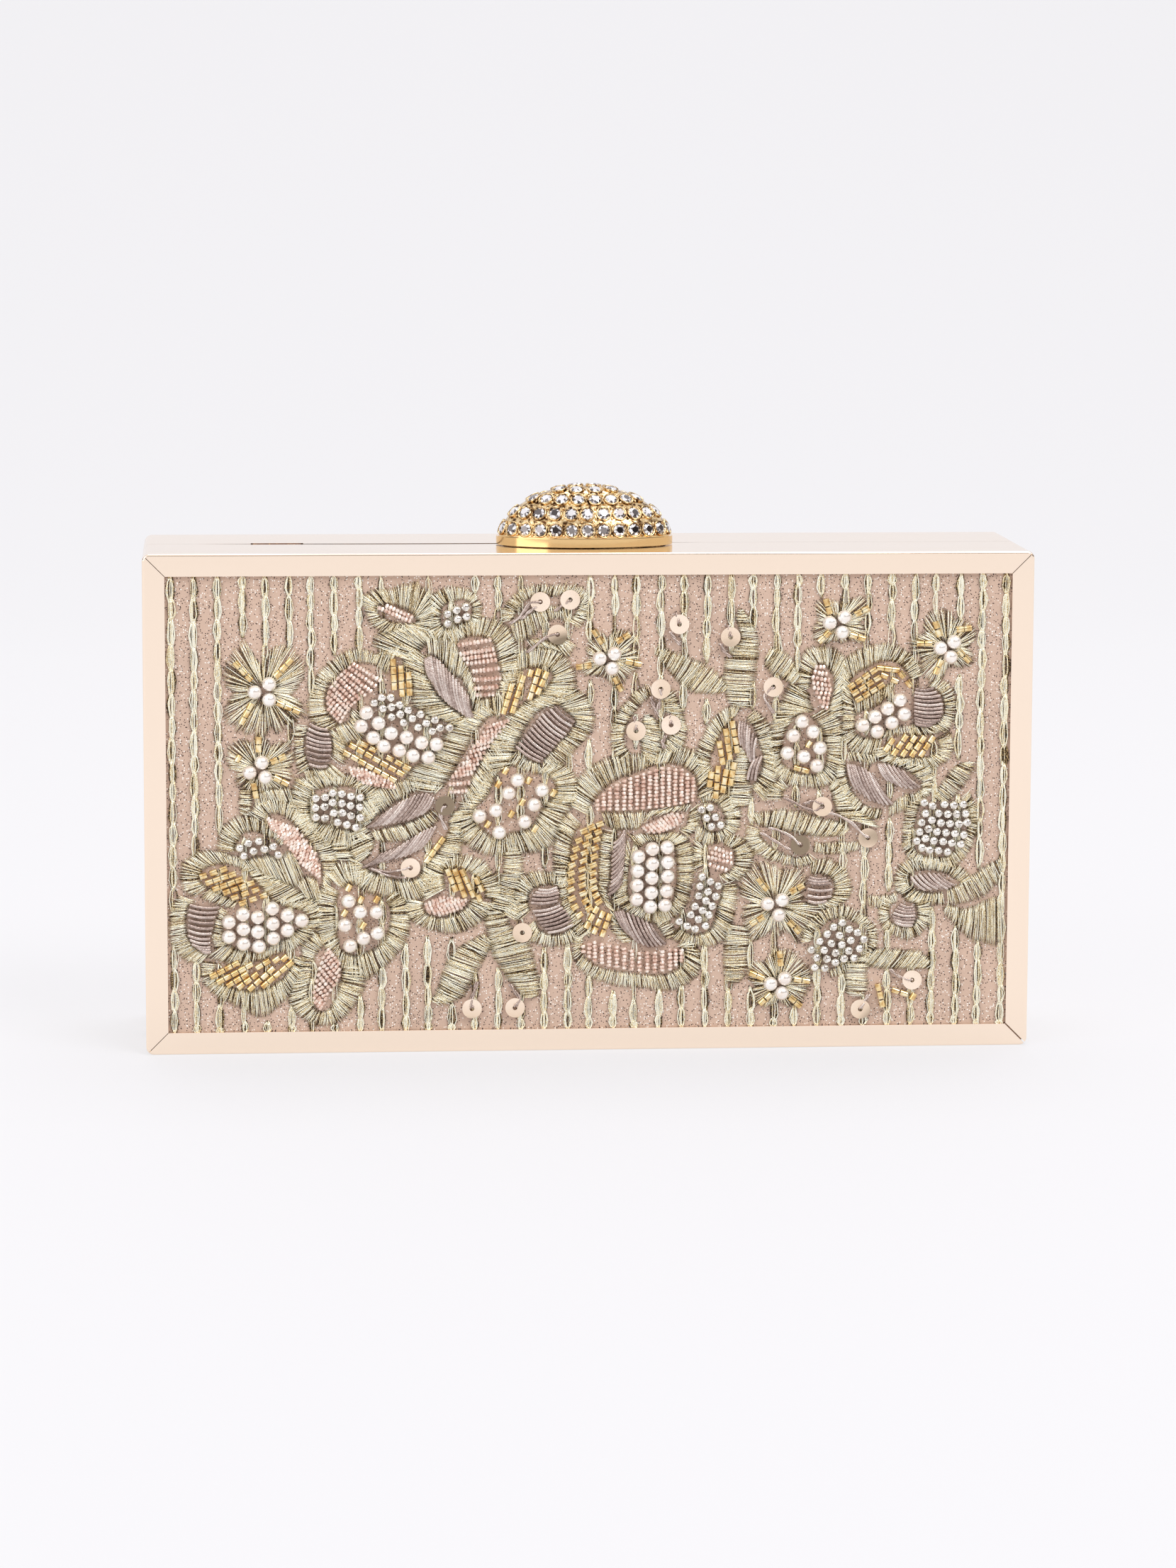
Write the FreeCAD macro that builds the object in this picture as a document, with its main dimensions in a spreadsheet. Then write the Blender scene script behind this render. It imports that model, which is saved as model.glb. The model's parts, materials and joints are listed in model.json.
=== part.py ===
import FreeCAD, Part
import Sketcher
import math
import os
from FreeCAD import Placement, Rotation, Vector

# A hard-case evening bag: two shallow metal halves hinged along the bottom, an embroidered and
# beaded panel in the front one, and a domed sliding clasp at the top.
# X runs along the case, +Y points to the back and Z is up. The origin is the middle of the
# footprint on the surface that the bag stands on. All sizes are in millimetres.

doc = FreeCAD.newDocument("evening_bag")
sheet = doc.addObject("Spreadsheet::Sheet", "Sizes")

SIZES = {
    # case
    "width": 185.0,
    "height": 104.5,
    "half_depth": 22.5,
    "wall": 0.8,
    "lip": 4.6,
    "corner_round": 1.6,
    "rim_round": 0.45,
    "seam_gap": 0.1,
    "mitre_slit": 0.14,
    "strip_joint": 0.3,
    # panels inside each half, as depths from its outer face
    "inset": 0.2,
    "fabric_depth": 0.9,
    "fabric_thick": 0.3,
    "board_depth": 1.25,
    "board_thick": 1.6,
    "tray_depth": 2.95,
    "tray_thick": 0.6,
    "tray_foot": 3.1,
    "lining_gap": 0.1,
    "lining_thick": 0.4,
    "mouth_gap": 0.4,
    # opening relief and strap notch in the top walls
    "bow_middle": -28.0,
    "bow_reach": 54.0,
    "bow_deep": 1.8,
    "notch_middle": -64.5,
    "notch_long": 11.0,
    "notch_side": 1.6,
    "strap_wide": 10.0,
    "strap_thick": 1.3,
    # hinge
    "hinge_height": 1.2,
    "barrel_radius": 1.2,
    "pin_radius": 0.6,
    "running_gap": 0.05,
    "hinge_relief": 1.85,
    "hinge_long": 172.0,
    "knuckle_gap": 0.2,
    "leaf_low": 0.85,
    "leaf_thick": 0.5,
    "leaf_reach": 9.0,
    "rivet_radius": 0.9,
    "rivet_head": 1.5,
    "rivet_ease": 0.03,
    # clasp
    "dome_long": 36.4,
    "dome_deep": 20.0,
    "dome_high": 12.2,
    "dome_gap": 0.2,
    "dome_wall": 1.0,
    "dome_forward": 3.0,
    "dome_rim_high": 1.7,
    "dome_rim_out": 0.4,
    "stone_radius": 1.32,
    "post_forward": 4.0,
    "post_radius": 2.2,
    "screw_radius": 1.0,
    "slide_travel": 3.3,
    "slider_thick": 1.6,
    "slider_gap": 0.15,
    "slider_left": 9.0,
    "slider_right": 5.0,
    "guide_half": 13.0,
    "guide_thick": 0.6,
    "tab_wide": 2.8,
    "finger_wide": 3.0,
    "keeper_start": 1.2,
    "hook_slack": 0.25,
    # beadwork
    "pearl_radius": 1.5,
    "seed_radius": 0.95,
    "tube_radius": 0.64,
    "tube_long": 1.5,
    "tube_bore": 0.3,
    "thread_hole": 0.5,
    "sequin_radius": 2.05,
    "sequin_thick": 0.25,
    "bead_lift": 0.05,
}
DERIVED = {
    # beads stand this far in front of the lip; half of it moves the seam back,
    # so that the origin stays in the middle of the whole footprint
    "bead_stand": "=2 * pearl_radius + bead_lift - fabric_depth",
    "seam_y": "=bead_stand / 2",
    "front_face": "=seam_y - half_depth",
    "post_y": "=seam_y - post_forward",
    "slider_top": "=height - wall - slider_gap",
    "slider_low": "=slider_top - slider_thick",
    "guide_top": "=slider_low - slider_gap",
    "dome_y": "=seam_y - dome_forward",
    "dome_z": "=height + dome_gap",
}
for row, (alias, value) in enumerate(list(SIZES.items()) + list(DERIVED.items()), start=1):
    sheet.set("A%d" % row, alias)
    sheet.set("B%d" % row, str(value))
    sheet.setAlias("B%d" % row, alias)
doc.recompute()


def size(alias):
    """Value of one cell of the sheet."""
    return float(sheet.get(alias))


def bound(expression):
    """Expression in which every alias is looked up in the sheet."""
    words = sorted(list(SIZES) + list(DERIVED), key=len, reverse=True)
    text = " " + str(expression) + " "
    for word in words:
        for before in " (-+*/":
            for after in " )-+*/^":
                text = text.replace(before + word + after, before + "Sizes." + word + after)
    return text.strip()


# ---------------------------------------------------------------- building helpers

def bind(obj, **expressions):
    """Bind properties of an object to expressions of the sheet."""
    for name, expression in expressions.items():
        obj.setExpression(name, bound(expression))


def place(obj, x, y, z):
    """Bind an object's position to expressions of the sheet."""
    for axis, expression in zip("xyz", (x, y, z)):
        obj.setExpression("Placement.Base." + axis, bound(expression))


def box(name, x, y, z):
    """A box between two expressions along each axis."""
    solid = doc.addObject("Part::Box", name)
    spans = ["(%s) - (%s)" % (high, low) for low, high in (x, y, z)]
    bind(solid, Length=spans[0], Width=spans[1], Height=spans[2])
    place(solid, x[0], y[0], z[0])
    return solid


def rod(name, radius, start, length, axis):
    """A cylinder from a start point along X, Y or Z."""
    solid = doc.addObject("Part::Cylinder", name)
    bind(solid, Radius=radius, Height=length)
    turns = {"X": Rotation(Vector(0, 1, 0), 90), "Y": Rotation(Vector(1, 0, 0), -90), "Z": Rotation()}
    solid.Placement = Placement(Vector(), turns[axis])
    place(solid, *start)
    return solid


def fuse(name, pieces):
    """One solid from several that meet."""
    solid = doc.addObject("Part::MultiFuse", name)
    solid.Shapes = pieces
    solid.Refine = True
    return solid


def cut(name, base, tools):
    """A solid less its tools."""
    solid = doc.addObject("Part::Cut", name)
    solid.Base = base
    solid.Tool = tools[0] if len(tools) == 1 else fuse(name + "_tools", tools)
    return solid


def feature(name, shape):
    """A sub-part whose shape is made directly."""
    solid = doc.addObject("Part::Feature", name)
    solid.Shape = shape
    return solid


def depth_span(side, near, far):
    """Y range of a stretch between two depths behind a half's outer face."""
    if side == "front":
        return ("front_face + %s" % near, "front_face + %s" % far)
    back = "seam_y + half_depth"
    return ("%s - (%s)" % (back, far), "%s - (%s)" % (back, near))


def seam_span(side, reach, start="0"):
    """Y range from the seam into one half."""
    if side == "front":
        return ("seam_y - (%s)" % reach, "seam_y - (%s)" % start)
    return ("seam_y + %s" % start, "seam_y + %s" % reach)


def spread(count, reach):
    """Evenly spaced places from -reach to +reach."""
    return [reach * (2.0 * index / (count - 1) - 1.0) for index in range(count)]


parts = []


def keep(obj, label):
    """Name a finished sub-part; its label is its file's name."""
    obj.Label = label
    parts.append(obj)
    return obj


# ---------------------------------------------------------------- frames

RIVETS_ALONG = spread(6, 75.0)
RIVET_BACK = 6.0


def rectangle(body, name, y, half_wide, low, high):
    """A closed rectangular sketch across the Y axis, bound to the sheet."""
    sketch = body.newObject("Sketcher::SketchObject", name)
    plane = [item for item in body.Origin.OriginFeatures if item.Role == "XZ_Plane"][0]
    sketch.AttachmentSupport = [(plane, "")]
    sketch.MapMode = "FlatFace"
    sketch.setExpression("AttachmentOffset.Base.z", bound("-(%s)" % y))
    sketch.setExpression("AttachmentOffset.Base.y", bound(low))
    corners = [Vector(-50, 0, 0), Vector(50, 0, 0), Vector(50, 80, 0), Vector(-50, 80, 0)]
    for index in range(4):
        sketch.addGeometry(Part.LineSegment(corners[index], corners[(index + 1) % 4]), False)
        sketch.addConstraint(Sketcher.Constraint("Vertical" if index % 2 else "Horizontal", index))
    for index in range(4):
        sketch.addConstraint(Sketcher.Constraint("Coincident", index, 2, (index + 1) % 4, 1))
    sketch.addConstraint(Sketcher.Constraint("PointOnObject", 0, 1, -1))
    bounds = (
        ("right", "DistanceX", 50.0, -1, 1, 1, 1, half_wide),
        ("left", "DistanceX", 50.0, 0, 1, -1, 1, half_wide),
        ("tall", "DistanceY", 80.0, 1, 1, 1, 2, "(%s) - (%s)" % (high, low)),
    )
    for label, kind, value, first, first_end, second, second_end, expression in bounds:
        number = sketch.addConstraint(
            Sketcher.Constraint(kind, first, first_end, second, second_end, value))
        sketch.renameConstraint(number, label)
        sketch.setExpression("Constraints." + label, bound(expression))
    return sketch


def round_edges(body, name, base, radius, wanted):
    """Fillet the edges that pass a test."""
    doc.recompute()
    picked = ["Edge%d" % (n + 1) for n, edge in enumerate(base.Shape.Edges) if wanted(edge)]
    fillet = body.newObject("PartDesign::Fillet", name)
    fillet.Base = (base, picked)
    fillet.setExpression("Radius", bound(radius))
    return fillet


def channel(side):
    """The bent strip: an L section round the half, lip outwards, open towards the seam."""
    front = side == "front"
    body = doc.addObject("PartDesign::Body", side + "_channel")
    seam = "seam_y - seam_gap / 2" if front else "seam_y + seam_gap / 2"
    outline = rectangle(body, side + "_outline", seam, "width / 2", "0", "height")
    pad = body.newObject("PartDesign::Pad", side + "_pad")
    pad.Profile = outline
    pad.Reversed = not front
    pad.setExpression("Length", bound("half_depth - seam_gap / 2"))
    outer = "seam_y - half_depth" if front else "seam_y + half_depth"
    half_wide = size("width") / 2 - 0.01

    def corner(edge):
        middle = edge.CenterOfMass
        return abs(middle.x) > half_wide and abs(edge.BoundBox.YLength) > 1

    rounded = round_edges(body, side + "_corners", pad, "corner_round", corner)
    face = size("seam_y") + (-1 if front else 1) * size("half_depth")

    def rim(edge):
        return abs(edge.BoundBox.YMin - face) < 0.001 and abs(edge.BoundBox.YMax - face) < 0.001

    soft = round_edges(body, side + "_rim", rounded, "rim_round", rim)
    hollow = rectangle(body, side + "_hollow", seam, "width / 2 - wall", "wall", "height - wall")
    inside = body.newObject("PartDesign::Pocket", side + "_inside")
    inside.Profile = hollow
    inside.Reversed = front
    inside.setExpression("Length", bound("half_depth - seam_gap / 2 - wall"))
    window = rectangle(body, side + "_window", outer, "width / 2 - lip", "lip", "height - lip")
    opening = body.newObject("PartDesign::Pocket", side + "_opening")
    opening.Profile = window
    opening.Reversed = not front
    opening.setExpression("Length", bound("2 * wall"))
    body.Tip = opening
    doc.recompute()
    lost = soft.Shape.Volume - opening.Shape.Volume
    print(side, "frame: hollow and window take", round(lost), "mm3")
    return body


def mitre(side, right, top):
    """A hairline slit across the lip at one corner; the strip's ends part at one of them."""
    joint = right and not top
    slit = size("strip_joint") if joint else size("mitre_slit")
    deep = size("half_depth") + 2 if joint else size("wall") + 0.4
    start = 1.2 if joint else -0.9
    inward = Vector(-1 if right else 1, 0, -1 if top else 1).normalize()
    corner = Vector(size("width") / 2 * (1 if right else -1), 0, size("height") if top else 0)
    blade = doc.addObject("Part::Box", "%s_mitre" % side)
    blade.Length = size("lip") * math.sqrt(2) + start + 0.6
    blade.Width = deep
    blade.Height = slit
    turn = Rotation(Vector(1, 0, 0), inward)
    if side == "front":
        low = size("front_face") - 0.2
    else:
        low = size("seam_y") + size("half_depth") + 0.2 - deep
    shift = turn.multVec(Vector(-start, 0, -slit / 2))
    blade.Placement = Placement(Vector(corner.x, low, corner.z) + shift, turn)
    return blade


def hinge_relief(side):
    """Room round the hinge's axis, so that the bottom walls clear each other up to 90 degrees."""
    return rod(side + "_relief", "hinge_relief", ("-width / 2 - 1", "seam_y", "hinge_height"),
               "width + 2", "X")


def strap_notch(side, reach, low):
    """The slot in the seam at the upper left."""
    along = ("notch_middle - notch_long / 2", "notch_middle + notch_long / 2")
    return box(side + "_notch", along, seam_span(side, reach, "-1"), (low, "height + 1"))


def bottom_holes(side, low, high):
    """Rivet holes that the hinge leaf and the bottom wall share."""
    sign = "-" if side == "front" else "+"
    return [rod("%s_hole" % side, "rivet_radius + rivet_ease",
                (x, "seam_y %s %g" % (sign, RIVET_BACK), low), "%s - (%s)" % (high, low), "Z")
            for x in RIVETS_ALONG]


GUIDE_RIVETS = [(x, "seam_y - 10.4") for x in (-8.0, 8.0)]
KEEPER_RIVETS = [(x, "seam_y + 5") for x in (-4.5, 4.5)]


def top_holes(name, places, low):
    """Rivet holes up through a top wall."""
    return [rod(name, "rivet_radius + rivet_ease", (x, y, low), "height + 1 - (%s)" % low, "Z")
            for x, y in places]


def opening_bow():
    """The long shallow scoop in the front half's seam edge, where a nail opens the case."""
    bow = doc.addObject("Part::Cylinder", "opening_bow")
    bind(bow, Radius="(bow_reach ^ 2 + bow_deep ^ 2) / (2 * bow_deep)", Height="wall + 1")
    place(bow, "bow_middle", "seam_y", "height - wall - 0.5")
    bow.setExpression("Placement.Base.y", "Sizes.seam_y - Sizes.bow_deep + Radius / 1 mm")
    return bow


def post_slot(name, low, high):
    """Slot that the dome's post slides in."""
    return box(name, ("-post_radius - 0.3", "post_radius + slide_travel + 0.3"),
               ("post_y - post_radius - 0.3", "post_y + post_radius + 0.3"), (low, high))


def frame(side):
    tools = [mitre(side, right, top) for right in (False, True) for top in (False, True)]
    tools.append(hinge_relief(side))
    tools.append(strap_notch(side, "notch_side", "height - wall - 0.5"))
    tools += bottom_holes(side, "-1", "leaf_low")
    if side == "front":
        tools.append(opening_bow())
        tools.append(post_slot("post_slot", "height - wall - 0.5", "height + 1"))
        tools += top_holes("guide_hole", GUIDE_RIVETS, "height - 2")
    else:
        tools += top_holes("keeper_hole", KEEPER_RIVETS, "height - 2")
    keep(cut(side + "_frame_cut", channel(side), tools), side + "_frame")


# ---------------------------------------------------------------- panels, trays and linings

def panel(side, label, depth, thick):
    """A flat sheet held behind the lip."""
    reach = "width / 2 - wall - inset"
    sheet_box = box(label + "_sheet", ("-(%s)" % reach, reach),
                    depth_span(side, depth, "%s + %s" % (depth, thick)),
                    ("wall + inset", "height - wall - inset"))
    keep(sheet_box, label)


def latch_room(side):
    """Cut-out in the tray and lining for the clasp's works."""
    wide, reach = ("guide_half + 0.6", "12.2") if side == "front" else ("8", "8.6")
    return box(side + "_latch_room", ("-(%s)" % wide, wide), seam_span(side, reach, "-1"),
               ("height - 5", "height"))


def strap_room(side, reach):
    """Cut-out for the strap tab."""
    along = ("notch_middle - notch_long / 2 - 0.4", "notch_middle + notch_long / 2 + 0.4")
    return box(side + "_strap_room", along, seam_span(side, reach, "-1"), ("height - 5", "height"))


def open_box(side, label, inset, depth, thick, foot, tools):
    """A shallow box open towards the seam."""
    far = "half_depth - mouth_gap"
    reach = "width / 2 - wall - (%s)" % inset
    outer = box(label + "_outer", ("-(%s)" % reach, reach), depth_span(side, depth, far),
                (foot, "height - wall - (%s)" % inset))
    inner = box(label + "_inner", ("-(%s) + %s" % (reach, thick), "%s - %s" % (reach, thick)),
                depth_span(side, "%s + %s" % (depth, thick), far + " + 1"),
                ("%s + %s" % (foot, thick), "height - wall - (%s) - %s" % (inset, thick)))
    keep(cut(label + "_cut", outer, [inner] + tools), label)


def lined_tray(side):
    tray_cuts = [latch_room(side), strap_room(side, "2.4")]
    if side == "rear":
        tray_cuts.append(rod("strap_hole", "rivet_radius + rivet_ease",
                             ("notch_middle", "seam_y + 6", "height - 5"), "6", "Z"))
    open_box(side, side + "_tray", "inset", "tray_depth", "tray_thick", "tray_foot", tray_cuts)
    lining_cuts = [latch_room(side), strap_room(side, "2.4" if side == "front" else "9.6")]
    open_box(side, side + "_lining", "inset + tray_thick + lining_gap",
             "tray_depth + tray_thick + lining_gap", "lining_thick",
             "tray_foot + tray_thick + lining_gap", lining_cuts)


# ---------------------------------------------------------------- bottom hinge

KNUCKLES = 11


def knuckle_spans(side):
    """X ranges of one side's knuckles; the rear side has the outermost two."""
    pitch = size("hinge_long") / KNUCKLES
    first = 0 if side == "rear" else 1
    spans = []
    for index in range(first, KNUCKLES, 2):
        low = -size("hinge_long") / 2 + index * pitch + size("knuckle_gap") / 2
        spans.append((low, low + pitch - size("knuckle_gap")))
    return spans


def hinge_leaf(side):
    """A flat leaf with rolled knuckles on the common axis."""
    other = "rear" if side == "front" else "front"
    plate = box(side + "_plate", ("-hinge_long / 2", "hinge_long / 2"), seam_span(side, "leaf_reach"),
                ("leaf_low", "leaf_low + leaf_thick"))
    clear = ("%s_swing" % side, "barrel_radius + 0.12")
    tools = [rod(clear[0], clear[1], (low - size("knuckle_gap"), "seam_y", "hinge_height"),
                 str(high - low + 2 * size("knuckle_gap")), "X") for low, high in knuckle_spans(other)]
    own_ends = [(-size("hinge_long") / 2 - 1, -size("hinge_long") / 2 + size("knuckle_gap"))]
    own_ends.append((-own_ends[0][1], -own_ends[0][0]))
    if side == "front":
        own_ends = []
    tools += [rod(side + "_end", clear[1], (low, "seam_y", "hinge_height"), str(high - low), "X")
              for low, high in own_ends]
    tools += bottom_holes(side, "0", "3")
    bare = cut(side + "_leaf_plate", plate, tools)
    rolls = [rod(side + "_roll", "barrel_radius", (low, "seam_y", "hinge_height"), str(high - low), "X")
             for low, high in knuckle_spans(side)]
    bore = "pin_radius + running_gap" if side == "front" else "pin_radius"
    hole = rod(side + "_bore", bore, ("-hinge_long / 2 - 1", "seam_y", "hinge_height"),
               "hinge_long + 2", "X")
    leaf = cut(side + "_leaf_cut", fuse(side + "_leaf_body", [bare] + rolls), [hole])
    keep(leaf, "hinge_leaf_" + side)


def rivet(name, x, y, low, top, head_low, head_high):
    """A round-shanked rivet with a wider head inside the case."""
    shank = rod(name + "_shank", "rivet_radius", (x, y, low), "%s - (%s)" % (top, low), "Z")
    head = rod(name + "_head", "rivet_head", (x, y, head_low), "%s - (%s)" % (head_high, head_low), "Z")
    return fuse(name, [shank, head])


def group(label, pieces):
    """Identical fasteners kept together as separate solids."""
    bunch = doc.addObject("Part::Compound", label + "_group")
    bunch.Links = pieces
    keep(bunch, label)


def hinge():
    for side in ("front", "rear"):
        hinge_leaf(side)
        sign = "-" if side == "front" else "+"
        over = "leaf_low + leaf_thick"
        group("hinge_rivets_" + side, [
            rivet("%s_rivet" % side, x, "seam_y %s %g" % (sign, RIVET_BACK), "0.02", over,
                  over, over + " + 0.4") for x in RIVETS_ALONG])
    keep(rod("hinge_pin_rod", "pin_radius", ("-hinge_long / 2", "seam_y", "hinge_height"),
             "hinge_long", "X"), "hinge_pin")


# ---------------------------------------------------------------- clasp

def ellipsoid(name, shrink):
    """Upper half of the dome's ellipsoid, smaller all round by one expression."""
    solid = doc.addObject("Part::Ellipsoid", name)
    bind(solid, Radius1="dome_high - (%s)" % shrink, Radius2="dome_long / 2 - (%s)" % shrink,
         Radius3="dome_deep / 2 - (%s)" % shrink)
    solid.Angle1 = 0
    solid.Angle2 = 90
    place(solid, "0", "dome_y", "dome_z")
    return solid


def oval(name, grow, low, high):
    """An upright oval disc on the dome's outline."""
    ring = doc.addObject("Part::Ellipse", name + "_outline")
    bind(ring, MajorRadius="dome_long / 2 + (%s)" % grow, MinorRadius="dome_deep / 2 + (%s)" % grow)
    place(ring, "0", "dome_y", low)
    disc = doc.addObject("Part::Extrusion", name)
    disc.Base = ring
    disc.Dir = Vector(0, 0, 1)
    disc.DirMode = "Custom"
    bind(disc, LengthFwd="%s - (%s)" % (high, low))
    disc.Solid = True
    return disc


def dome():
    outer = fuse("dome_outer", [ellipsoid("dome_skin", "0"),
                                oval("dome_rim", "dome_rim_out", "dome_z", "dome_z + dome_rim_high")])
    shell = cut("dome_shell", outer, [
        ellipsoid("dome_hollow", "dome_wall"),
        oval("dome_mouth", "-dome_wall", "dome_z - 1", "dome_z + 0.2")])
    column = rod("dome_column", "post_radius", ("0", "post_y", "slider_top"), "dome_high + 1.25", "Z")
    bore = rod("dome_thread", "screw_radius + rivet_ease", ("0", "post_y", "slider_top - 1"), "7", "Z")
    above = doc.addObject("Part::Common", "dome_post_top")
    above.Base = column
    above.Tool = ellipsoid("dome_limit", "dome_wall / 2")
    below = rod("dome_post_foot", "post_radius", ("0", "post_y", "slider_top"),
                "dome_z + 1 - slider_top", "Z")
    post = fuse("dome_post", [above, below])
    keep(cut("dome_cut", fuse("dome_body", [shell, post]), [bore]), "clasp_dome")


# Each ring of stones: height on the dome as an angle up its section, and how many stones it has.
STONE_RINGS = ((16.5, 26), (34.0, 22), (52.0, 16), (70.0, 8))
CROWN_STONES = (-1.9, 1.9)


def even_angles(long_radius, short_radius, count):
    """Angles that divide an oval into equal lengths."""
    steps = 720
    lengths = [0.0]
    for index in range(steps):
        angle = 2 * math.pi * (index + 0.5) / steps
        lengths.append(lengths[-1] + math.hypot(long_radius * math.sin(angle),
                                                short_radius * math.cos(angle)))
    angles = []
    mark = 0
    for item in range(count):
        target = lengths[-1] * (item + 0.5) / count
        while lengths[mark] < target:
            mark += 1
        angles.append(2 * math.pi * mark / steps)
    return angles


def stone(where, outward, radius):
    """A round brilliant: flat table, sloped crown and pointed pavilion."""
    girdle, crown, table, point = radius, 0.34 * radius, 0.58 * radius, -0.55 * radius
    outline = [Vector(0, 0, point), Vector(girdle, 0, 0), Vector(table, 0, crown), Vector(0, 0, crown)]
    face = Part.Face(Part.makePolygon(outline + [outline[0]]))
    solid = face.revolve(Vector(), Vector(0, 0, 1), 360)
    solid.Placement = Placement(where, Rotation(Vector(0, 0, 1), outward))
    return solid


def stones():
    """Crystals set in rings round the dome, with a short row along its crown."""
    long_radius, short_radius = size("dome_long") / 2, size("dome_deep") / 2
    high = size("dome_high")
    base = Vector(0, size("dome_y"), size("dome_z"))
    sunk = 0.25
    shapes = []

    def add(unit):
        skin = Vector(long_radius * unit.x, short_radius * unit.y, high * unit.z)
        outward = Vector(unit.x / long_radius, unit.y / short_radius, unit.z / high).normalize()
        shapes.append(stone(base + skin - outward * sunk, outward, size("stone_radius")))

    for lift, count in STONE_RINGS:
        tilt = math.radians(lift)
        ring = math.cos(tilt)
        for angle in even_angles(long_radius * ring, short_radius * ring, count):
            add(Vector(ring * math.cos(angle), ring * math.sin(angle), math.sin(tilt)))
    for x in CROWN_STONES:
        add(Vector(x / long_radius, 0, math.sqrt(1 - (x / long_radius) ** 2)))
    keep(feature("stone_group", Part.makeCompound(shapes)), "clasp_stones")


def prism(outline, low, high):
    """A flat outline of (y, z) points, carried along X."""
    points = [Vector(low, y, z) for y, z in outline]
    return Part.Face(Part.makePolygon(points + [points[0]])).extrude(Vector(high - low, 0, 0))


def slider():
    """Flat slider under the top wall; its arm reaches across the seam and turns up in a tab."""
    plate = box("slider_plate", ("-slider_left", "slider_right"), ("seam_y - 9", "seam_y - 1.3"),
                ("slider_low", "slider_top"))
    hole = rod("slider_screw_hole", "screw_radius + rivet_ease", ("0", "post_y", "slider_low - 1"),
               "slider_thick + 2", "Z")
    seam, plate_low = size("seam_y"), size("slider_low")
    arm_top = plate_low - 1.25
    arm_low = arm_top - 0.8
    tab = seam + size("keeper_start") + size("wall") + size("hook_slack")
    outline = [(seam - 1.3, plate_low + 0.4), (seam - 1.3, plate_low), (seam - 2.1, plate_low),
               (seam - 2.1, arm_low), (tab + 1.0, arm_low), (tab + 1.0, arm_top + 1.9),
               (tab, arm_top + 1.9), (tab, arm_top), (seam - 1.3, arm_top)]
    arm = feature("slider_arm", prism(outline, -size("tab_wide") - 0.1, -0.1))
    keep(cut("slider_cut", fuse("slider_body", [plate, arm]), [hole]), "latch_slider")


def spring():
    """Compression spring in the guide, between the slider's end and the guide's stop."""
    wire, coil, turns = 0.11, 0.6, 10
    start = Vector(size("slider_right") + 0.15, size("seam_y") - 7.6, size("slider_top") - 0.8)
    long = size("guide_half") - size("guide_thick") - size("slider_right") - 0.4
    helix = Part.makeHelix(long / turns, long, coil)
    ring = Part.Wire(Part.makeCircle(wire, Vector(coil, 0, 0), Vector(0, 1, 0)))
    winding = Part.Wire(helix).makePipeShell([ring], True, True)
    winding.Placement = Placement(start, Rotation(Vector(0, 1, 0), 90))
    keep(feature("spring_solid", winding), "latch_spring")


def guide():
    """Channel riveted under the top wall; the slider runs in it."""
    under = "height - wall"
    floor = box("guide_floor", ("-guide_half", "guide_half"), ("seam_y - 11.8", "seam_y - 0.9"),
                ("guide_top - guide_thick", "guide_top"))
    rail = box("guide_rail", ("-guide_half", "guide_half"), ("seam_y - 11.8", "seam_y - 9.15"),
               ("guide_top", under))
    stops = [box("guide_stop", (low, high), ("seam_y - 9.15", "seam_y - 0.9"), ("guide_top", under))
             for low, high in (("-guide_half", "-guide_half + guide_thick"),
                               ("guide_half - guide_thick", "guide_half"))]
    slot = box("guide_slot", ("-tab_wide - 0.5", "post_radius + slide_travel + 0.3"),
               ("post_y - post_radius - 0.3", "seam_y"), ("slider_low - 5", "guide_top + 0.001"))
    holes = top_holes("guide_rivet_hole", GUIDE_RIVETS, "guide_top - 2")
    keep(cut("guide_cut", fuse("guide_body", [floor, rail] + stops), [slot] + holes), "slider_guide")
    foot = "guide_top - guide_thick"
    group("guide_rivets", [rivet("guide_rivet", x, y, foot, "height - 0.02", foot + " - 0.4", foot)
                           for x, y in GUIDE_RIVETS])


def keeper():
    """Plate under the rear top wall, with one finger turned down for the slider's tab."""
    under = "height - wall"
    start = "seam_y + keeper_start"
    tongue = box("keeper_tongue", ("-6.5", "6.5"), (start, start + " + 6.2"),
                 (under + " - wall", under))
    finger = box("keeper_finger", ("-finger_wide", "0"), (start, start + " + wall"),
                 ("slider_low - 1", under))
    keep(cut("keeper_cut", fuse("keeper_body", [tongue, finger]),
             top_holes("keeper_rivet_hole", KEEPER_RIVETS, "height - 3")), "latch_keeper")
    group("keeper_rivets", [rivet("keeper_rivet", x, y, under + " - wall", "height - 0.02",
                                  under + " - wall - 0.4", under + " - wall")
                            for x, y in KEEPER_RIVETS])


def latch():
    slider()
    spring()
    guide()
    keeper()
    shank = rod("screw_shank", "screw_radius", ("0", "post_y", "slider_low"), "6.5", "Z")
    head = rod("screw_head", "1.8", ("0", "post_y", "slider_low - 0.9"), "0.9", "Z")
    keep(fuse("screw_body", [shank, head]), "clasp_screw")


# ---------------------------------------------------------------- strap tab and ring

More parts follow.
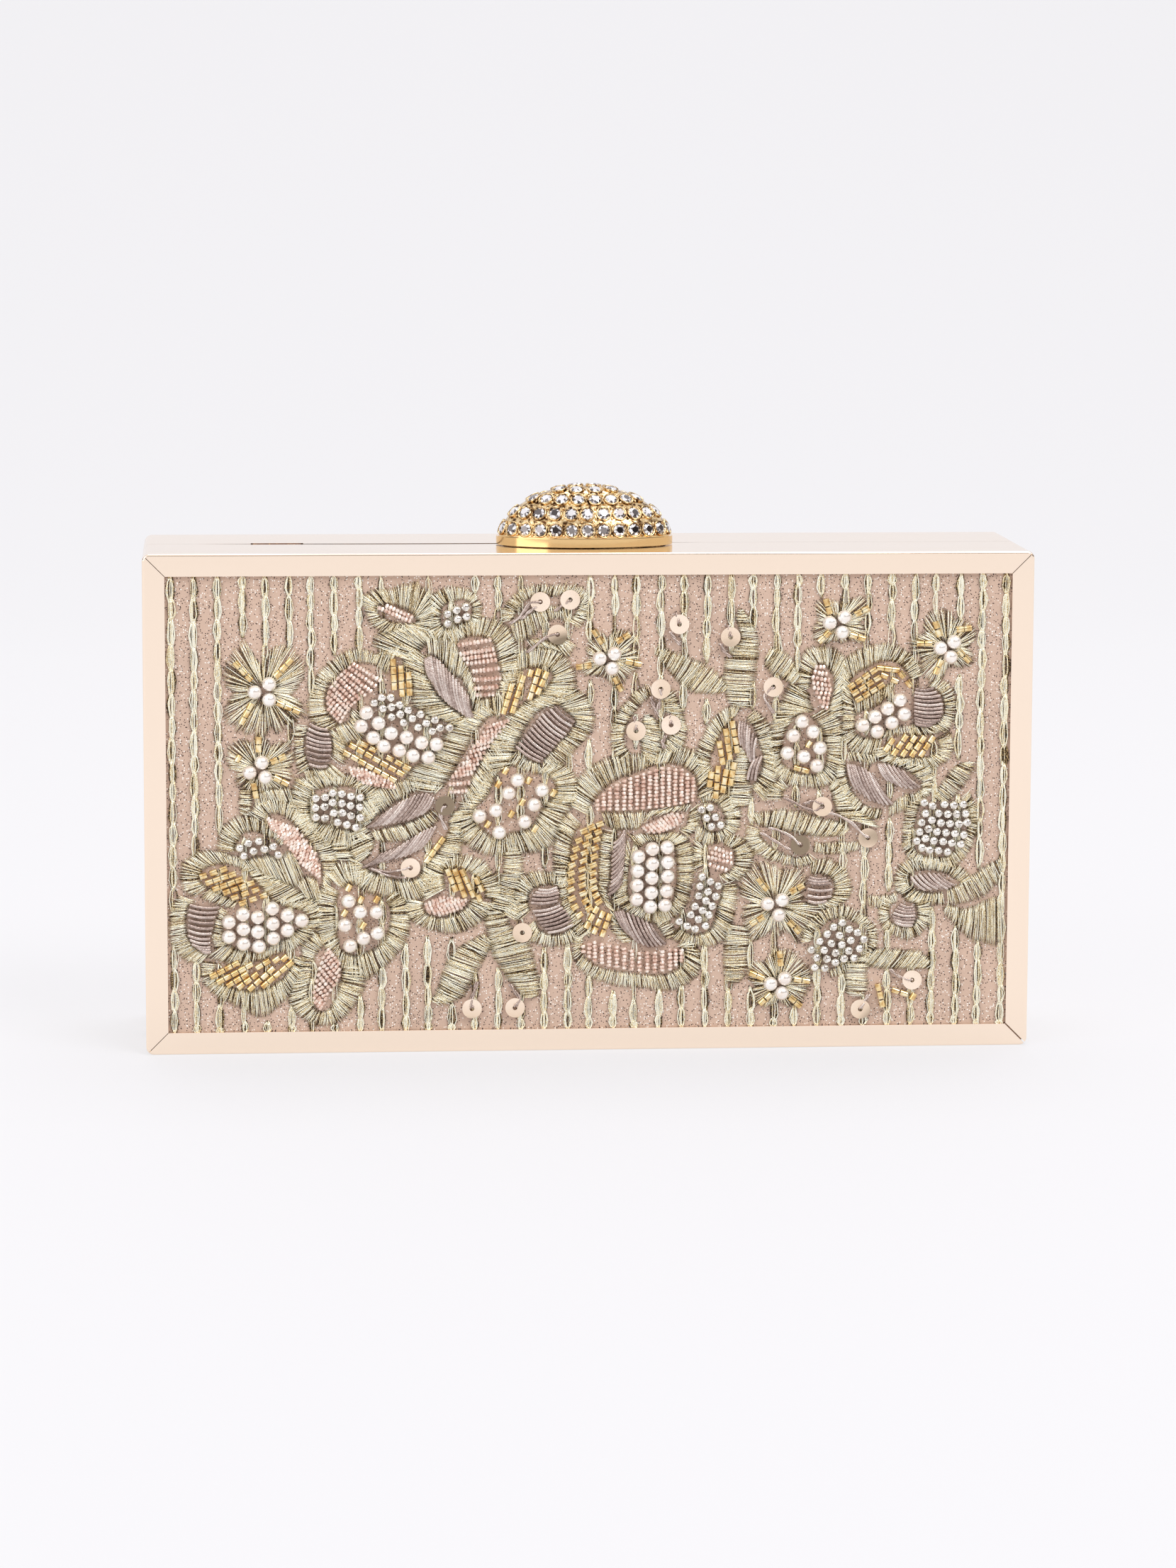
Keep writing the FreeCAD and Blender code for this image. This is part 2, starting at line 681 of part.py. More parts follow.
def strap():
    """A folded tab in the notch; the ring for a chain hangs inside from its lower loop."""
    half = "strap_wide / 2"
    along = ("notch_middle - " + half, "notch_middle + " + half)
    loop_z = "height - 4.5"
    fold = box("strap_fold", along, ("seam_y - strap_thick", "seam_y + strap_thick"),
               (loop_z, "height - 0.1 - strap_thick"))
    top = rod("strap_top", "strap_thick", ("notch_middle - " + half, "seam_y", "height - 0.1 - strap_thick"),
              "strap_wide", "X")
    loop = rod("strap_loop", "strap_thick + 0.4", ("notch_middle - " + half, "seam_y", loop_z),
               "strap_wide", "X")
    under_tray = "height - wall - inset - tray_thick"
    tail = box("strap_tail", along, ("seam_y", "seam_y + 9"), (under_tray + " - 1", under_tray))
    bar_hole = rod("strap_bar_hole", "0.85", ("notch_middle - strap_wide", "seam_y", loop_z),
                   "2 * strap_wide", "X")
    rivet_hole = rod("strap_rivet_hole", "rivet_radius + rivet_ease",
                     ("notch_middle", "seam_y + 6", "height - 5"), "6", "Z")
    keep(cut("strap_cut", fuse("strap_body", [fold, top, loop, tail]), [bar_hole, rivet_hole]),
         "strap_tab")
    tray_top = "height - wall - inset"
    keep(rivet("strap_rivet_solid", "notch_middle", "seam_y + 6", under_tray + " - 1", tray_top,
               under_tray + " - 1.4", under_tray + " - 1"), "strap_rivet")
    wire, reach, drop = 0.8, 6.2, 3.0
    middle = Vector(size("notch_middle"), size("seam_y"), size("height") - 4.5)
    left, right = Vector(-reach, 0, 0), Vector(reach, 0, 0)
    bar = Part.makeCylinder(wire, 2 * reach, left, Vector(1, 0, 0))
    legs = [Part.makeCylinder(wire, drop, start, Vector(0, 0, -1)) for start in (left, right)]
    bow = Part.makeTorus(reach, wire, Vector(0, 0, -drop), Vector(0, 1, 0))
    lower = Part.makeBox(30, 10, 20, Vector(-15, -5, -drop - 20))
    balls = [Part.makeSphere(wire, end) for end in (left, right)]
    ring = bar.multiFuse(legs + [bow.common(lower)] + balls)
    ring.Placement = Placement(middle, Rotation())
    keep(feature("ring_solid", ring), "strap_ring")


# ---------------------------------------------------------------- beadwork
# Places on the front panel as (x, z). The embroidery is not regular, so they are laid out by hand.

THREE_PEARL_FLOWERS = (
    ((-69.6, 76.0), (-66.6, 77.7), (-66.6, 74.4)), ((-70.7, 59.3), (-68.2, 61.4), (-67.5, 58.3)),
    ((1.7, 82.6), (4.8, 83.6), (4.3, 80.5)), ((49.6, 89.8), (52.7, 91.0), (52.2, 87.8)),
    ((72.8, 84.4), (75.7, 85.7), (75.0, 82.5)), ((37.1, 30.8), (40.2, 31.6), (39.5, 28.4)),
    ((37.9, 13.8), (40.9, 14.9), (40.3, 11.8)),
)
ROSE_PEARLS = (
    (-46.6, 71.6), (-47.7, 68.8), (-44.1, 69.4), (-45.2, 66.4), (-41.5, 67.3), (-43.0, 64.6),
    (-38.3, 66.4), (-39.8, 63.7), (-35.2, 65.3), (-37.0, 62.6), (-32.1, 64.9), (-33.8, 62.2),
    (56.7, 68.3), (59.3, 70.1), (59.8, 67.0), (61.9, 71.8), (62.8, 68.8), (64.5, 73.6), (65.4, 70.6),
    (10.0, 41.0), (9.8, 38.0), (9.7, 35.0), (9.6, 32.0), (12.9, 42.6), (12.9, 39.5), (12.8, 36.5),
    (12.7, 33.4), (12.5, 30.4), (16.0, 42.9), (16.1, 39.8), (16.1, 36.8), (15.9, 33.7), (15.6, 30.7),
    (-72.3, 29.6), (-75.2, 28.0), (-75.2, 24.9), (-69.2, 29.0), (-72.2, 26.5), (-69.2, 25.9),
    (-72.2, 23.4), (-69.0, 22.8), (-66.2, 30.8), (-66.1, 27.6), (-66.0, 24.5), (-63.1, 29.3),
    (-63.1, 26.2), (-60.1, 28.2),
)
RING_PEARLS = (
    (-15.3, 57.3), (-10.2, 55.2), (-17.1, 54.6), (-11.8, 52.1), (-19.8, 51.0), (-23.2, 49.8),
    (-13.8, 48.6), (-19.1, 46.4), (44.0, 69.2), (46.3, 67.0), (42.2, 66.2), (47.8, 63.6),
    (41.0, 62.6), (44.4, 61.8), (47.2, 59.9), (-50.4, 32.2), (-48.0, 29.9), (-44.6, 29.8),
    (-51.2, 27.1), (-44.4, 25.4), (-47.3, 24.3), (-50.1, 22.8),
)
SEEDS = (
    (-29.8, 92.0), (-27.9, 92.8), (-26.0, 93.4), (-29.7, 90.0), (-27.7, 90.9), (-25.8, 91.4),
    (-45.0, 73.6), (-43.4, 74.7), (-41.5, 74.7), (-43.2, 72.4), (-41.4, 72.7), (-39.7, 73.2),
    (-41.4, 70.6), (-39.6, 71.2), (-37.9, 72.1), (-38.9, 69.4), (-37.1, 70.3), (-35.4, 71.2),
    (-35.9, 68.4), (-34.2, 69.3), (-32.4, 70.0), (-33.0, 67.6), (-31.3, 68.3), (-29.4, 68.3),
    (-57.1, 53.8), (-55.2, 54.0), (-53.6, 54.9), (-51.7, 54.7), (-49.8, 54.2), (-47.9, 53.9),
    (-57.2, 51.8), (-55.3, 52.0), (-53.6, 52.9), (-51.7, 52.7), (-49.9, 52.2), (-48.0, 51.9),
    (-57.1, 49.8), (-55.2, 49.6), (-53.4, 50.7), (-51.6, 50.7), (-49.8, 50.1), (-47.9, 49.7),
    (-52.6, 48.7), (-50.7, 48.2), (-48.8, 47.6),
    (-72.9, 43.5), (-71.1, 44.5), (-68.9, 44.9), (-72.0, 41.8), (-70.0, 42.8), (-67.8, 43.2),
    (-65.9, 43.8), (-64.9, 42.0),
    (23.1, 50.8), (25.0, 51.2), (24.2, 49.0), (26.1, 49.2), (25.2, 47.2), (27.2, 47.5),
    (23.4, 36.6), (25.1, 35.6), (26.8, 34.7), (22.9, 34.6), (24.6, 33.5), (22.6, 32.6),
    (26.3, 32.4), (24.2, 31.5), (21.9, 30.4), (25.6, 30.4), (23.5, 29.5), (21.0, 28.6),
    (24.9, 28.5), (22.7, 27.6), (18.6, 27.2), (20.3, 26.2), (24.2, 26.2), (22.0, 25.5),
    (69.9, 51.9), (71.7, 51.2), (74.2, 51.5), (76.2, 51.3), (78.2, 51.5), (70.2, 49.6),
    (73.0, 49.6), (74.9, 49.4), (76.8, 49.4), (78.7, 49.5), (71.6, 48.2), (69.4, 47.7),
    (73.5, 47.6), (75.4, 47.4), (77.3, 47.3), (79.1, 47.6), (70.9, 46.3), (69.0, 45.7),
    (72.7, 45.7), (74.6, 45.5), (76.5, 45.3), (78.4, 45.0), (68.4, 43.8), (70.3, 44.3),
    (72.1, 43.8), (74.0, 43.6), (75.9, 43.3), (69.6, 42.3), (77.8, 43.0), (71.2, 41.8),
    (73.1, 41.7), (75.0, 41.4),
    (53.0, 26.6), (51.1, 25.7), (54.4, 25.2), (49.8, 24.2), (52.4, 23.9), (56.2, 24.5),
    (57.6, 23.0), (48.2, 22.7), (50.7, 22.2), (52.9, 21.9), (54.8, 22.8), (56.7, 21.0),
    (46.4, 20.9), (49.2, 20.8), (51.6, 20.2), (54.4, 20.6), (47.6, 19.2), (53.4, 18.9),
    (55.6, 19.0), (49.8, 18.9), (47.2, 17.1), (51.6, 18.1), (49.4, 16.9),
)
SEQUINS = (
    (-10.6, 94.4), (-4.4, 94.8), (14.5, 76.1), (38.0, 76.4), (-30.3, 52.0), (-37.5, 39.0),
    (-14.2, 25.1), (-24.7, 9.1), (-15.7, 9.2), (48.5, 51.2), (44.0, 43.1), (67.9, 14.2),
    (57.0, 8.1), (-7.0, 87.6), (18.3, 89.6), (29.0, 86.9), (9.4, 67.4), (16.7, 68.6), (58.2, 44.5),
)
# Tube beads lie end to end in runs: first and last bead's place, and how many there are.
TUBE_RUNS = (
    (-73.2, 81.6, -70.7, 78.9, 3), (-64.8, 79.6, -62.4, 82.2, 3), (-64.3, 73.4, -61.0, 72.0, 3),
    (-70.5, 73.0, -72.1, 70.0, 3), (-68.8, 65.9, -68.8, 64.2, 2), (-65.6, 61.6, -63.9, 62.3, 2),
    (-73.0, 62.2, -73.0, 62.2, 1), (-65.0, 57.8, -63.4, 57.0, 2), (-69.8, 56.3, -69.5, 54.6, 2),
    (0.9, 87.9, 1.9, 86.3, 2), (5.9, 86.3, 7.4, 87.2, 2), (7.9, 81.8, 9.7, 81.4, 2),
    (-2.4, 80.8, -0.7, 81.0, 2), (5.2, 78.0, 6.1, 76.4, 2), (49.0, 94.0, 49.5, 92.3, 2),
    (55.6, 91.7, 57.2, 92.5, 2), (49.2, 87.4, 48.0, 86.2, 2), (54.7, 87.0, 56.4, 86.5, 2),
    (72.0, 89.2, 72.6, 87.5, 2), (77.0, 88.2, 78.7, 88.4, 2), (68.7, 85.3, 70.4, 85.3, 2),
    (77.3, 83.3, 78.6, 82.0, 2), (72.9, 81.2, 72.2, 79.6, 2), (35.6, 35.6, 36.7, 34.2, 2),
    (42.6, 33.4, 44.2, 34.2, 2), (35.8, 27.6, 34.3, 26.7, 2), (42.2, 26.4, 43.5, 25.0, 2),
    (39.9, 19.9, 40.1, 18.2, 2), (34.2, 15.8, 35.8, 15.1, 2), (37.6, 11.0, 36.3, 9.8, 2),
    (43.7, 14.5, 45.5, 14.2, 2), (42.6, 10.3, 43.9, 9.2, 2),
    (-41.0, 82.0, -40.8, 77.0, 4), (-39.4, 80.6, -39.2, 75.6, 4), (-37.8, 79.2, -37.6, 75.8, 3),
    (-18.0, 71.8, -16.6, 76.6, 4), (-16.2, 72.0, -14.2, 78.4, 5), (-14.4, 73.6, -12.6, 79.6, 5),
    (-12.6, 74.8, -11.0, 79.8, 4), (-10.9, 75.8, -9.4, 79.2, 3),
    (-50.6, 63.0, -41.2, 57.6, 7), (-49.4, 64.6, -39.6, 58.9, 7), (-47.0, 64.9, -38.2, 60.1, 6),
    (-80.4, 37.6, -76.2, 39.0, 3), (-79.2, 36.3, -74.4, 37.9, 4), (-77.8, 35.0, -73.0, 36.7, 4),
    (-75.6, 34.2, -70.6, 36.0, 4), (-73.9, 33.1, -69.6, 34.6, 3), (-72.3, 31.9, -68.0, 33.4, 3),
    (-78.4, 16.7, -73.8, 19.1, 4), (-77.0, 15.5, -71.0, 18.7, 5), (-75.0, 14.8, -67.4, 19.4, 6),
    (-72.8, 14.4, -65.4, 19.9, 6), (-70.6, 14.0, -63.7, 20.2, 6), (-67.8, 14.6, -62.6, 19.0, 5),
    (-29.6, 38.0, -28.3, 34.6, 3), (-28.1, 38.0, -26.4, 33.4, 4), (-26.6, 37.9, -24.6, 33.4, 4),
    (-25.1, 37.2, -23.2, 32.5, 4), (-23.6, 36.2, -22.0, 32.9, 3), (-33.9, 40.7, -31.0, 44.7, 4),
    (-1.4, 46.4, 2.0, 47.8, 3), (-2.4, 44.4, 1.6, 46.2, 3), (-3.0, 42.6, 1.3, 44.6, 3),
    (-3.4, 40.9, 1.0, 42.8, 3), (-3.8, 39.2, 0.8, 41.0, 3), (-4.0, 37.5, 0.6, 39.2, 3),
    (-4.0, 35.8, 0.6, 37.5, 3), (-4.0, 34.1, 0.6, 35.9, 3), (-3.8, 32.2, 0.8, 34.3, 3),
    (-3.2, 30.4, 1.2, 32.8, 3), (-2.2, 28.7, 1.8, 31.4, 3), (-0.6, 26.6, 1.2, 29.8, 3),
    (1.0, 25.4, 2.5, 28.8, 3), (2.7, 24.8, 3.9, 28.2, 3),
    (29.6, 68.6, 30.5, 63.4, 4), (28.2, 67.0, 29.0, 62.0, 4), (26.9, 64.4, 27.5, 60.9, 3),
    (30.2, 61.6, 29.3, 56.5, 4), (28.5, 60.2, 27.7, 55.0, 4), (26.6, 59.2, 26.2, 53.8, 4),
    (25.2, 58.0, 24.9, 56.2, 2),
    (54.4, 76.5, 59.0, 79.6, 4), (60.4, 80.2, 63.6, 79.8, 3), (64.9, 78.8, 66.4, 76.9, 2),
    (55.2, 75.1, 59.8, 78.0, 4), (61.2, 78.6, 63.4, 77.6, 2), (56.0, 73.7, 60.6, 76.5, 4),
    (62.0, 63.4, 62.9, 64.8, 2), (63.7, 62.5, 65.7, 65.5, 3), (65.6, 62.3, 67.6, 65.3, 3),
    (67.5, 62.2, 69.5, 65.2, 3), (69.4, 62.2, 71.4, 65.2, 3), (71.4, 63.2, 72.6, 65.2, 2),
    (60.8, 12.7, 61.6, 9.2, 3), (64.4, 11.9, 66.2, 11.3, 2), (68.2, 10.6, 68.2, 10.6, 1),
    (44.0, 65.6, 44.0, 65.6, 1), (45.6, 64.3, 45.6, 64.3, 1), (43.2, 59.3, 44.9, 58.8, 2),
    (-17.7, 59.2, -17.7, 59.2, 1), (-19.2, 56.4, -19.2, 56.4, 1), (-7.8, 54.5, -7.8, 54.5, 1),
    (-14.2, 52.6, -14.2, 52.6, 1), (-12.9, 57.1, -12.9, 57.1, 1), (-21.4, 48.0, -21.4, 48.0, 1),
    (-16.5, 50.1, -16.5, 50.1, 1), (-11.6, 47.0, -11.6, 47.0, 1),
    (-50.3, 34.9, -50.3, 34.9, 1), (-47.8, 32.4, -47.8, 32.4, 1), (-44.5, 32.4, -44.5, 32.4, 1),
    (-51.2, 29.6, -51.2, 29.6, 1), (-47.3, 26.9, -47.3, 26.9, 1),
)


def copies(label, model, places, depth):
    """Copies of one bead at (x, z) places, this far in front of the fabric."""
    y = size("front_face") + size("fabric_depth") - depth
    shapes = []
    for x, z in places:
        bead = model.copy()
        bead.translate(Vector(x, y, z))
        shapes.append(bead)
    keep(feature(label + "_group", Part.makeCompound(shapes)), label)


def drilled_ball(radius, hole):
    """A ball with a straight hole along X."""
    end = math.sqrt(radius ** 2 - hole ** 2)
    left, right = Vector(-end, hole, 0), Vector(end, hole, 0)
    outline = Part.Wire([Part.Arc(left, Vector(0, radius, 0), right).toShape(),
                         Part.LineSegment(right, left).toShape()])
    return Part.Face(outline).revolve(Vector(), Vector(1, 0, 0), 360)


def run_places(run):
    """Places and direction of the beads of one run."""
    x_start, z_start, x_end, z_end, count = run
    turn = 60.0 if count == 1 else math.degrees(math.atan2(z_end - z_start, x_end - x_start))
    steps = [0.0] if count == 1 else [index / (count - 1.0) for index in range(count)]
    return [(x_start + (x_end - x_start) * t, z_start + (z_end - z_start) * t, turn) for t in steps]


def far_from(x, z, others, gap):
    """True where a point is further than a gap from all the others."""
    return all(math.hypot(x - other[0], z - other[1]) > gap for other in others)


def beadwork():
    lift = size("bead_lift")
    pearl, seed, tube = size("pearl_radius"), size("seed_radius"), size("tube_radius")
    pearls = [place for flower in THREE_PEARL_FLOWERS for place in flower]
    pearls += list(ROSE_PEARLS) + list(RING_PEARLS)
    copies("pearl_beads", drilled_ball(pearl, 0.35), pearls, pearl + lift)
    seeds = [bead for bead in SEEDS if far_from(bead[0], bead[1], pearls, pearl + seed - 0.1)]
    copies("seed_beads", drilled_ball(seed, 0.3), seeds, seed + lift)
    disc = Part.makeCylinder(size("sequin_radius"), size("sequin_thick"), Vector(), Vector(0, -1, 0))
    disc = disc.cut(Part.makeCylinder(size("thread_hole"), 1.0, Vector(0, 0.3, 0), Vector(0, -1, 0)))
    copies("sequins", disc, SEQUINS, 0.9)
    barrel = Part.makeCylinder(tube, size("tube_long"), Vector(-size("tube_long") / 2, 0, 0),
                               Vector(1, 0, 0))
    barrel = barrel.cut(Part.makeCylinder(size("tube_bore"), 4.0, Vector(-2.0, 0, 0), Vector(1, 0, 0)))
    y = size("front_face") + size("fabric_depth") - tube - lift
    shapes = []
    placed = []
    for run in TUBE_RUNS:
        for x, z, turn in run_places(run):
            if far_from(x, z, pearls, pearl + 0.75) and far_from(x, z, seeds, seed + 0.75):
                if far_from(x, z, placed, 2 * tube + 0.02):
                    bead = barrel.copy()
                    bead.Placement = Placement(Vector(x, y, z), Rotation(Vector(0, 1, 0), -turn))
                    shapes.append(bead)
                    placed.append((x, z))
    keep(feature("tube_group", Part.makeCompound(shapes)), "tube_beads")
    print("beads:", len(pearls), "pearls,", len(seeds), "seeds,", len(shapes), "tubes")


# ---------------------------------------------------------------- the whole bag

for half in ("front", "rear"):
    frame(half)
    panel(half, half + "_board", "board_depth", "board_thick")
    panel(half, half + "_fabric", "fabric_depth", "fabric_thick")
    lined_tray(half)
hinge()
dome()
stones()
latch()
strap()
beadwork()
doc.recompute()

for obj in doc.Objects:
    state = obj.State
    if "Invalid" in state or "Error" in state:
        raise RuntimeError("%s is %s" % (obj.Label, state))
for obj in parts:
    if obj.Shape.isNull() or not obj.Shape.isValid() or not obj.Shape.Solids:
        raise RuntimeError(obj.Label + " has no valid solid")

os.makedirs("parts", exist_ok=True)
for obj in parts:
    obj.Shape.exportStep("parts/%s.step" % obj.Label)
    print("%-20s %4d solids %9.1f mm3" % (obj.Label, len(obj.Shape.Solids), obj.Shape.Volume))
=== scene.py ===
import json
import math
import random

import bpy
import numpy as np
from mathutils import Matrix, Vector


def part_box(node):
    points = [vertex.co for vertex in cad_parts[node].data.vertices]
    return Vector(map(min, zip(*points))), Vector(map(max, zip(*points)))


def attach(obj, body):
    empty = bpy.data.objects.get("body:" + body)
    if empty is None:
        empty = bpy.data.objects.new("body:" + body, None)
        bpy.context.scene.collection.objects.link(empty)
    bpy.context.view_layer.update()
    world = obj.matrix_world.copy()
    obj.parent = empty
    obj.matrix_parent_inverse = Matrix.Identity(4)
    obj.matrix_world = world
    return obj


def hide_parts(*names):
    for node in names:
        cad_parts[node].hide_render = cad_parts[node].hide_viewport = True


# Evening bag: the looks. Lengths are in millimetres in this script and become metres when a mesh is
# made; the studio and the camera are in metres. The embroidered panel lies in the XZ plane and
# faces -Y.

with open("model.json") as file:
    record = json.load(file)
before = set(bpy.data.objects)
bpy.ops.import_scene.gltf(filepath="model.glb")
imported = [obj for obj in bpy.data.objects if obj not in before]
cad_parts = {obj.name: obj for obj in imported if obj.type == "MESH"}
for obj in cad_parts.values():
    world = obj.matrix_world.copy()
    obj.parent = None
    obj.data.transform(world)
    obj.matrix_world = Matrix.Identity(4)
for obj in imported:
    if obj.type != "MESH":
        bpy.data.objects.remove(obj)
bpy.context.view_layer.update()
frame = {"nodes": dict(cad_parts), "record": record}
NODES = frame["nodes"]
MM = 0.001

random.seed(11)

FABRIC_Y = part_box("front_fabric")[0].y / MM
WINDOW_LOW = 4.6
WINDOW_HIGH = 99.9

# ---------------------------------------------------------------- the embroidery's layout
# Places are (x, z) on the panel in millimetres. A comma parts the groups of a shape and a
# semicolon ends it. A flower is its middle and then its outline. A band of satin stitch, bullion or
# cut beads is a row of ribs, each from its first end to its second, and is ruled between them; a
# band of cut beads starts with the spacing of its rows. A tail is a line of points.

FLOWERS = """
-67.6 76.1, -73.9 75.9, -75.6 77.0, -76.3 79.2, -75.8 82.0, -74.4 84.0, -72.8 86.0, -71.6 86.9,
-70.3 84.6, -68.9 82.6, -68.2 82.2, -67.2 84.0, -65.6 85.2, -63.4 86.3, -61.6 85.2, -60.0 83.4,
-59.0 81.4, -59.1 79.0, -60.2 76.9, -61.6 75.2, -59.6 73.6, -58.8 71.4, -60.8 69.2, -63.2 68.6,
-64.6 66.6, -66.2 68.2, -68.0 65.6, -70.0 67.0, -71.8 66.4, -73.6 67.9, -75.4 69.4, -76.2 71.6,
-75.6 73.8;
-68.8 59.8, -73.5 59.5, -75.3 60.2, -75.9 62.2, -75.4 64.2, -74.0 65.8, -72.2 66.4, -70.6 65.6,
-69.8 66.6, -68.6 67.4, -67.2 66.4, -66.2 64.8, -64.6 65.6, -62.8 65.6, -61.4 64.0, -61.0 62.0,
-62.0 60.2, -61.6 58.0, -62.4 56.2, -64.0 55.2, -66.0 55.6, -67.6 54.6, -69.2 54.6, -70.8 54.0,
-72.2 55.0, -73.4 56.4, -74.0 57.8;
3.6 82.3, -0.6 82.8, -1.1 84.2, -1.0 86.0, 0.2 87.8, 2.1 88.4, 3.4 87.0, 4.6 88.4, 6.6 89.0, 8.6 88.3,
9.9 87.0, 8.0 85.0, 10.2 84.2, 10.6 82.0, 9.9 80.0, 8.4 79.0, 7.2 77.0, 5.4 76.0, 4.1 77.0, 2.8 78.4,
0.6 78.8, -1.2 78.6, -2.8 80.4;
51.5 89.5, 46.1 88.4, 46.6 90.0, 46.9 91.6, 46.4 93.4, 47.7 94.9, 49.4 94.9, 50.8 94.6, 52.9 94.4,
54.8 95.0, 56.8 95.5, 57.9 93.4, 58.1 91.4, 56.2 89.8, 57.6 88.2, 57.7 86.6, 56.6 85.2, 54.8 85.8,
52.9 85.2, 50.6 85.6, 48.4 84.8, 46.8 85.6, 46.0 87.0;
74.5 84.2, 68.0 86.6, 66.4 86.8, 66.0 85.2, 66.8 83.6, 68.4 82.6, 68.6 80.2, 69.0 78.2, 70.4 76.8,
72.2 77.1, 73.6 78.0, 74.4 79.8, 75.8 80.2, 77.8 79.8, 79.7 80.4, 80.7 82.0, 79.8 83.4, 78.8 84.4,
80.3 85.8, 80.6 87.8, 79.7 89.4, 78.0 90.6, 76.4 90.2, 75.0 92.2, 73.4 92.8, 71.6 92.3, 69.8 91.3,
69.0 89.7, 69.4 88.0;
39.0 30.3, 34.3 30.9, 31.1 32.6, 30.8 34.4, 31.6 36.6, 33.0 38.2, 34.6 39.8, 36.6 39.9, 38.6 39.0,
40.4 38.2, 42.2 38.2, 44.4 38.2, 45.6 36.6, 45.4 34.6, 45.2 32.4, 45.6 30.8, 49.8 29.4, 49.2 27.4,
47.2 25.2, 45.4 23.2, 43.8 22.0, 42.4 23.8, 41.0 24.2, 39.6 23.4, 38.0 24.6, 36.2 23.4, 34.2 22.3,
32.8 23.8, 32.2 26.2, 31.6 28.4, 31.9 30.2;
39.7 13.5, 34.4 13.4, 33.0 15.0, 32.8 17.2, 34.2 18.8, 36.4 18.2, 37.4 19.8, 38.8 21.8, 40.6 21.2,
42.2 21.4, 43.6 20.2, 45.0 18.6, 46.8 16.8, 47.2 14.8, 46.6 12.8, 45.8 10.8, 44.4 8.8, 42.2 8.2, 40.4 9.4,
38.4 9.0, 36.4 8.4, 34.4 9.2, 33.4 11.2;
"""

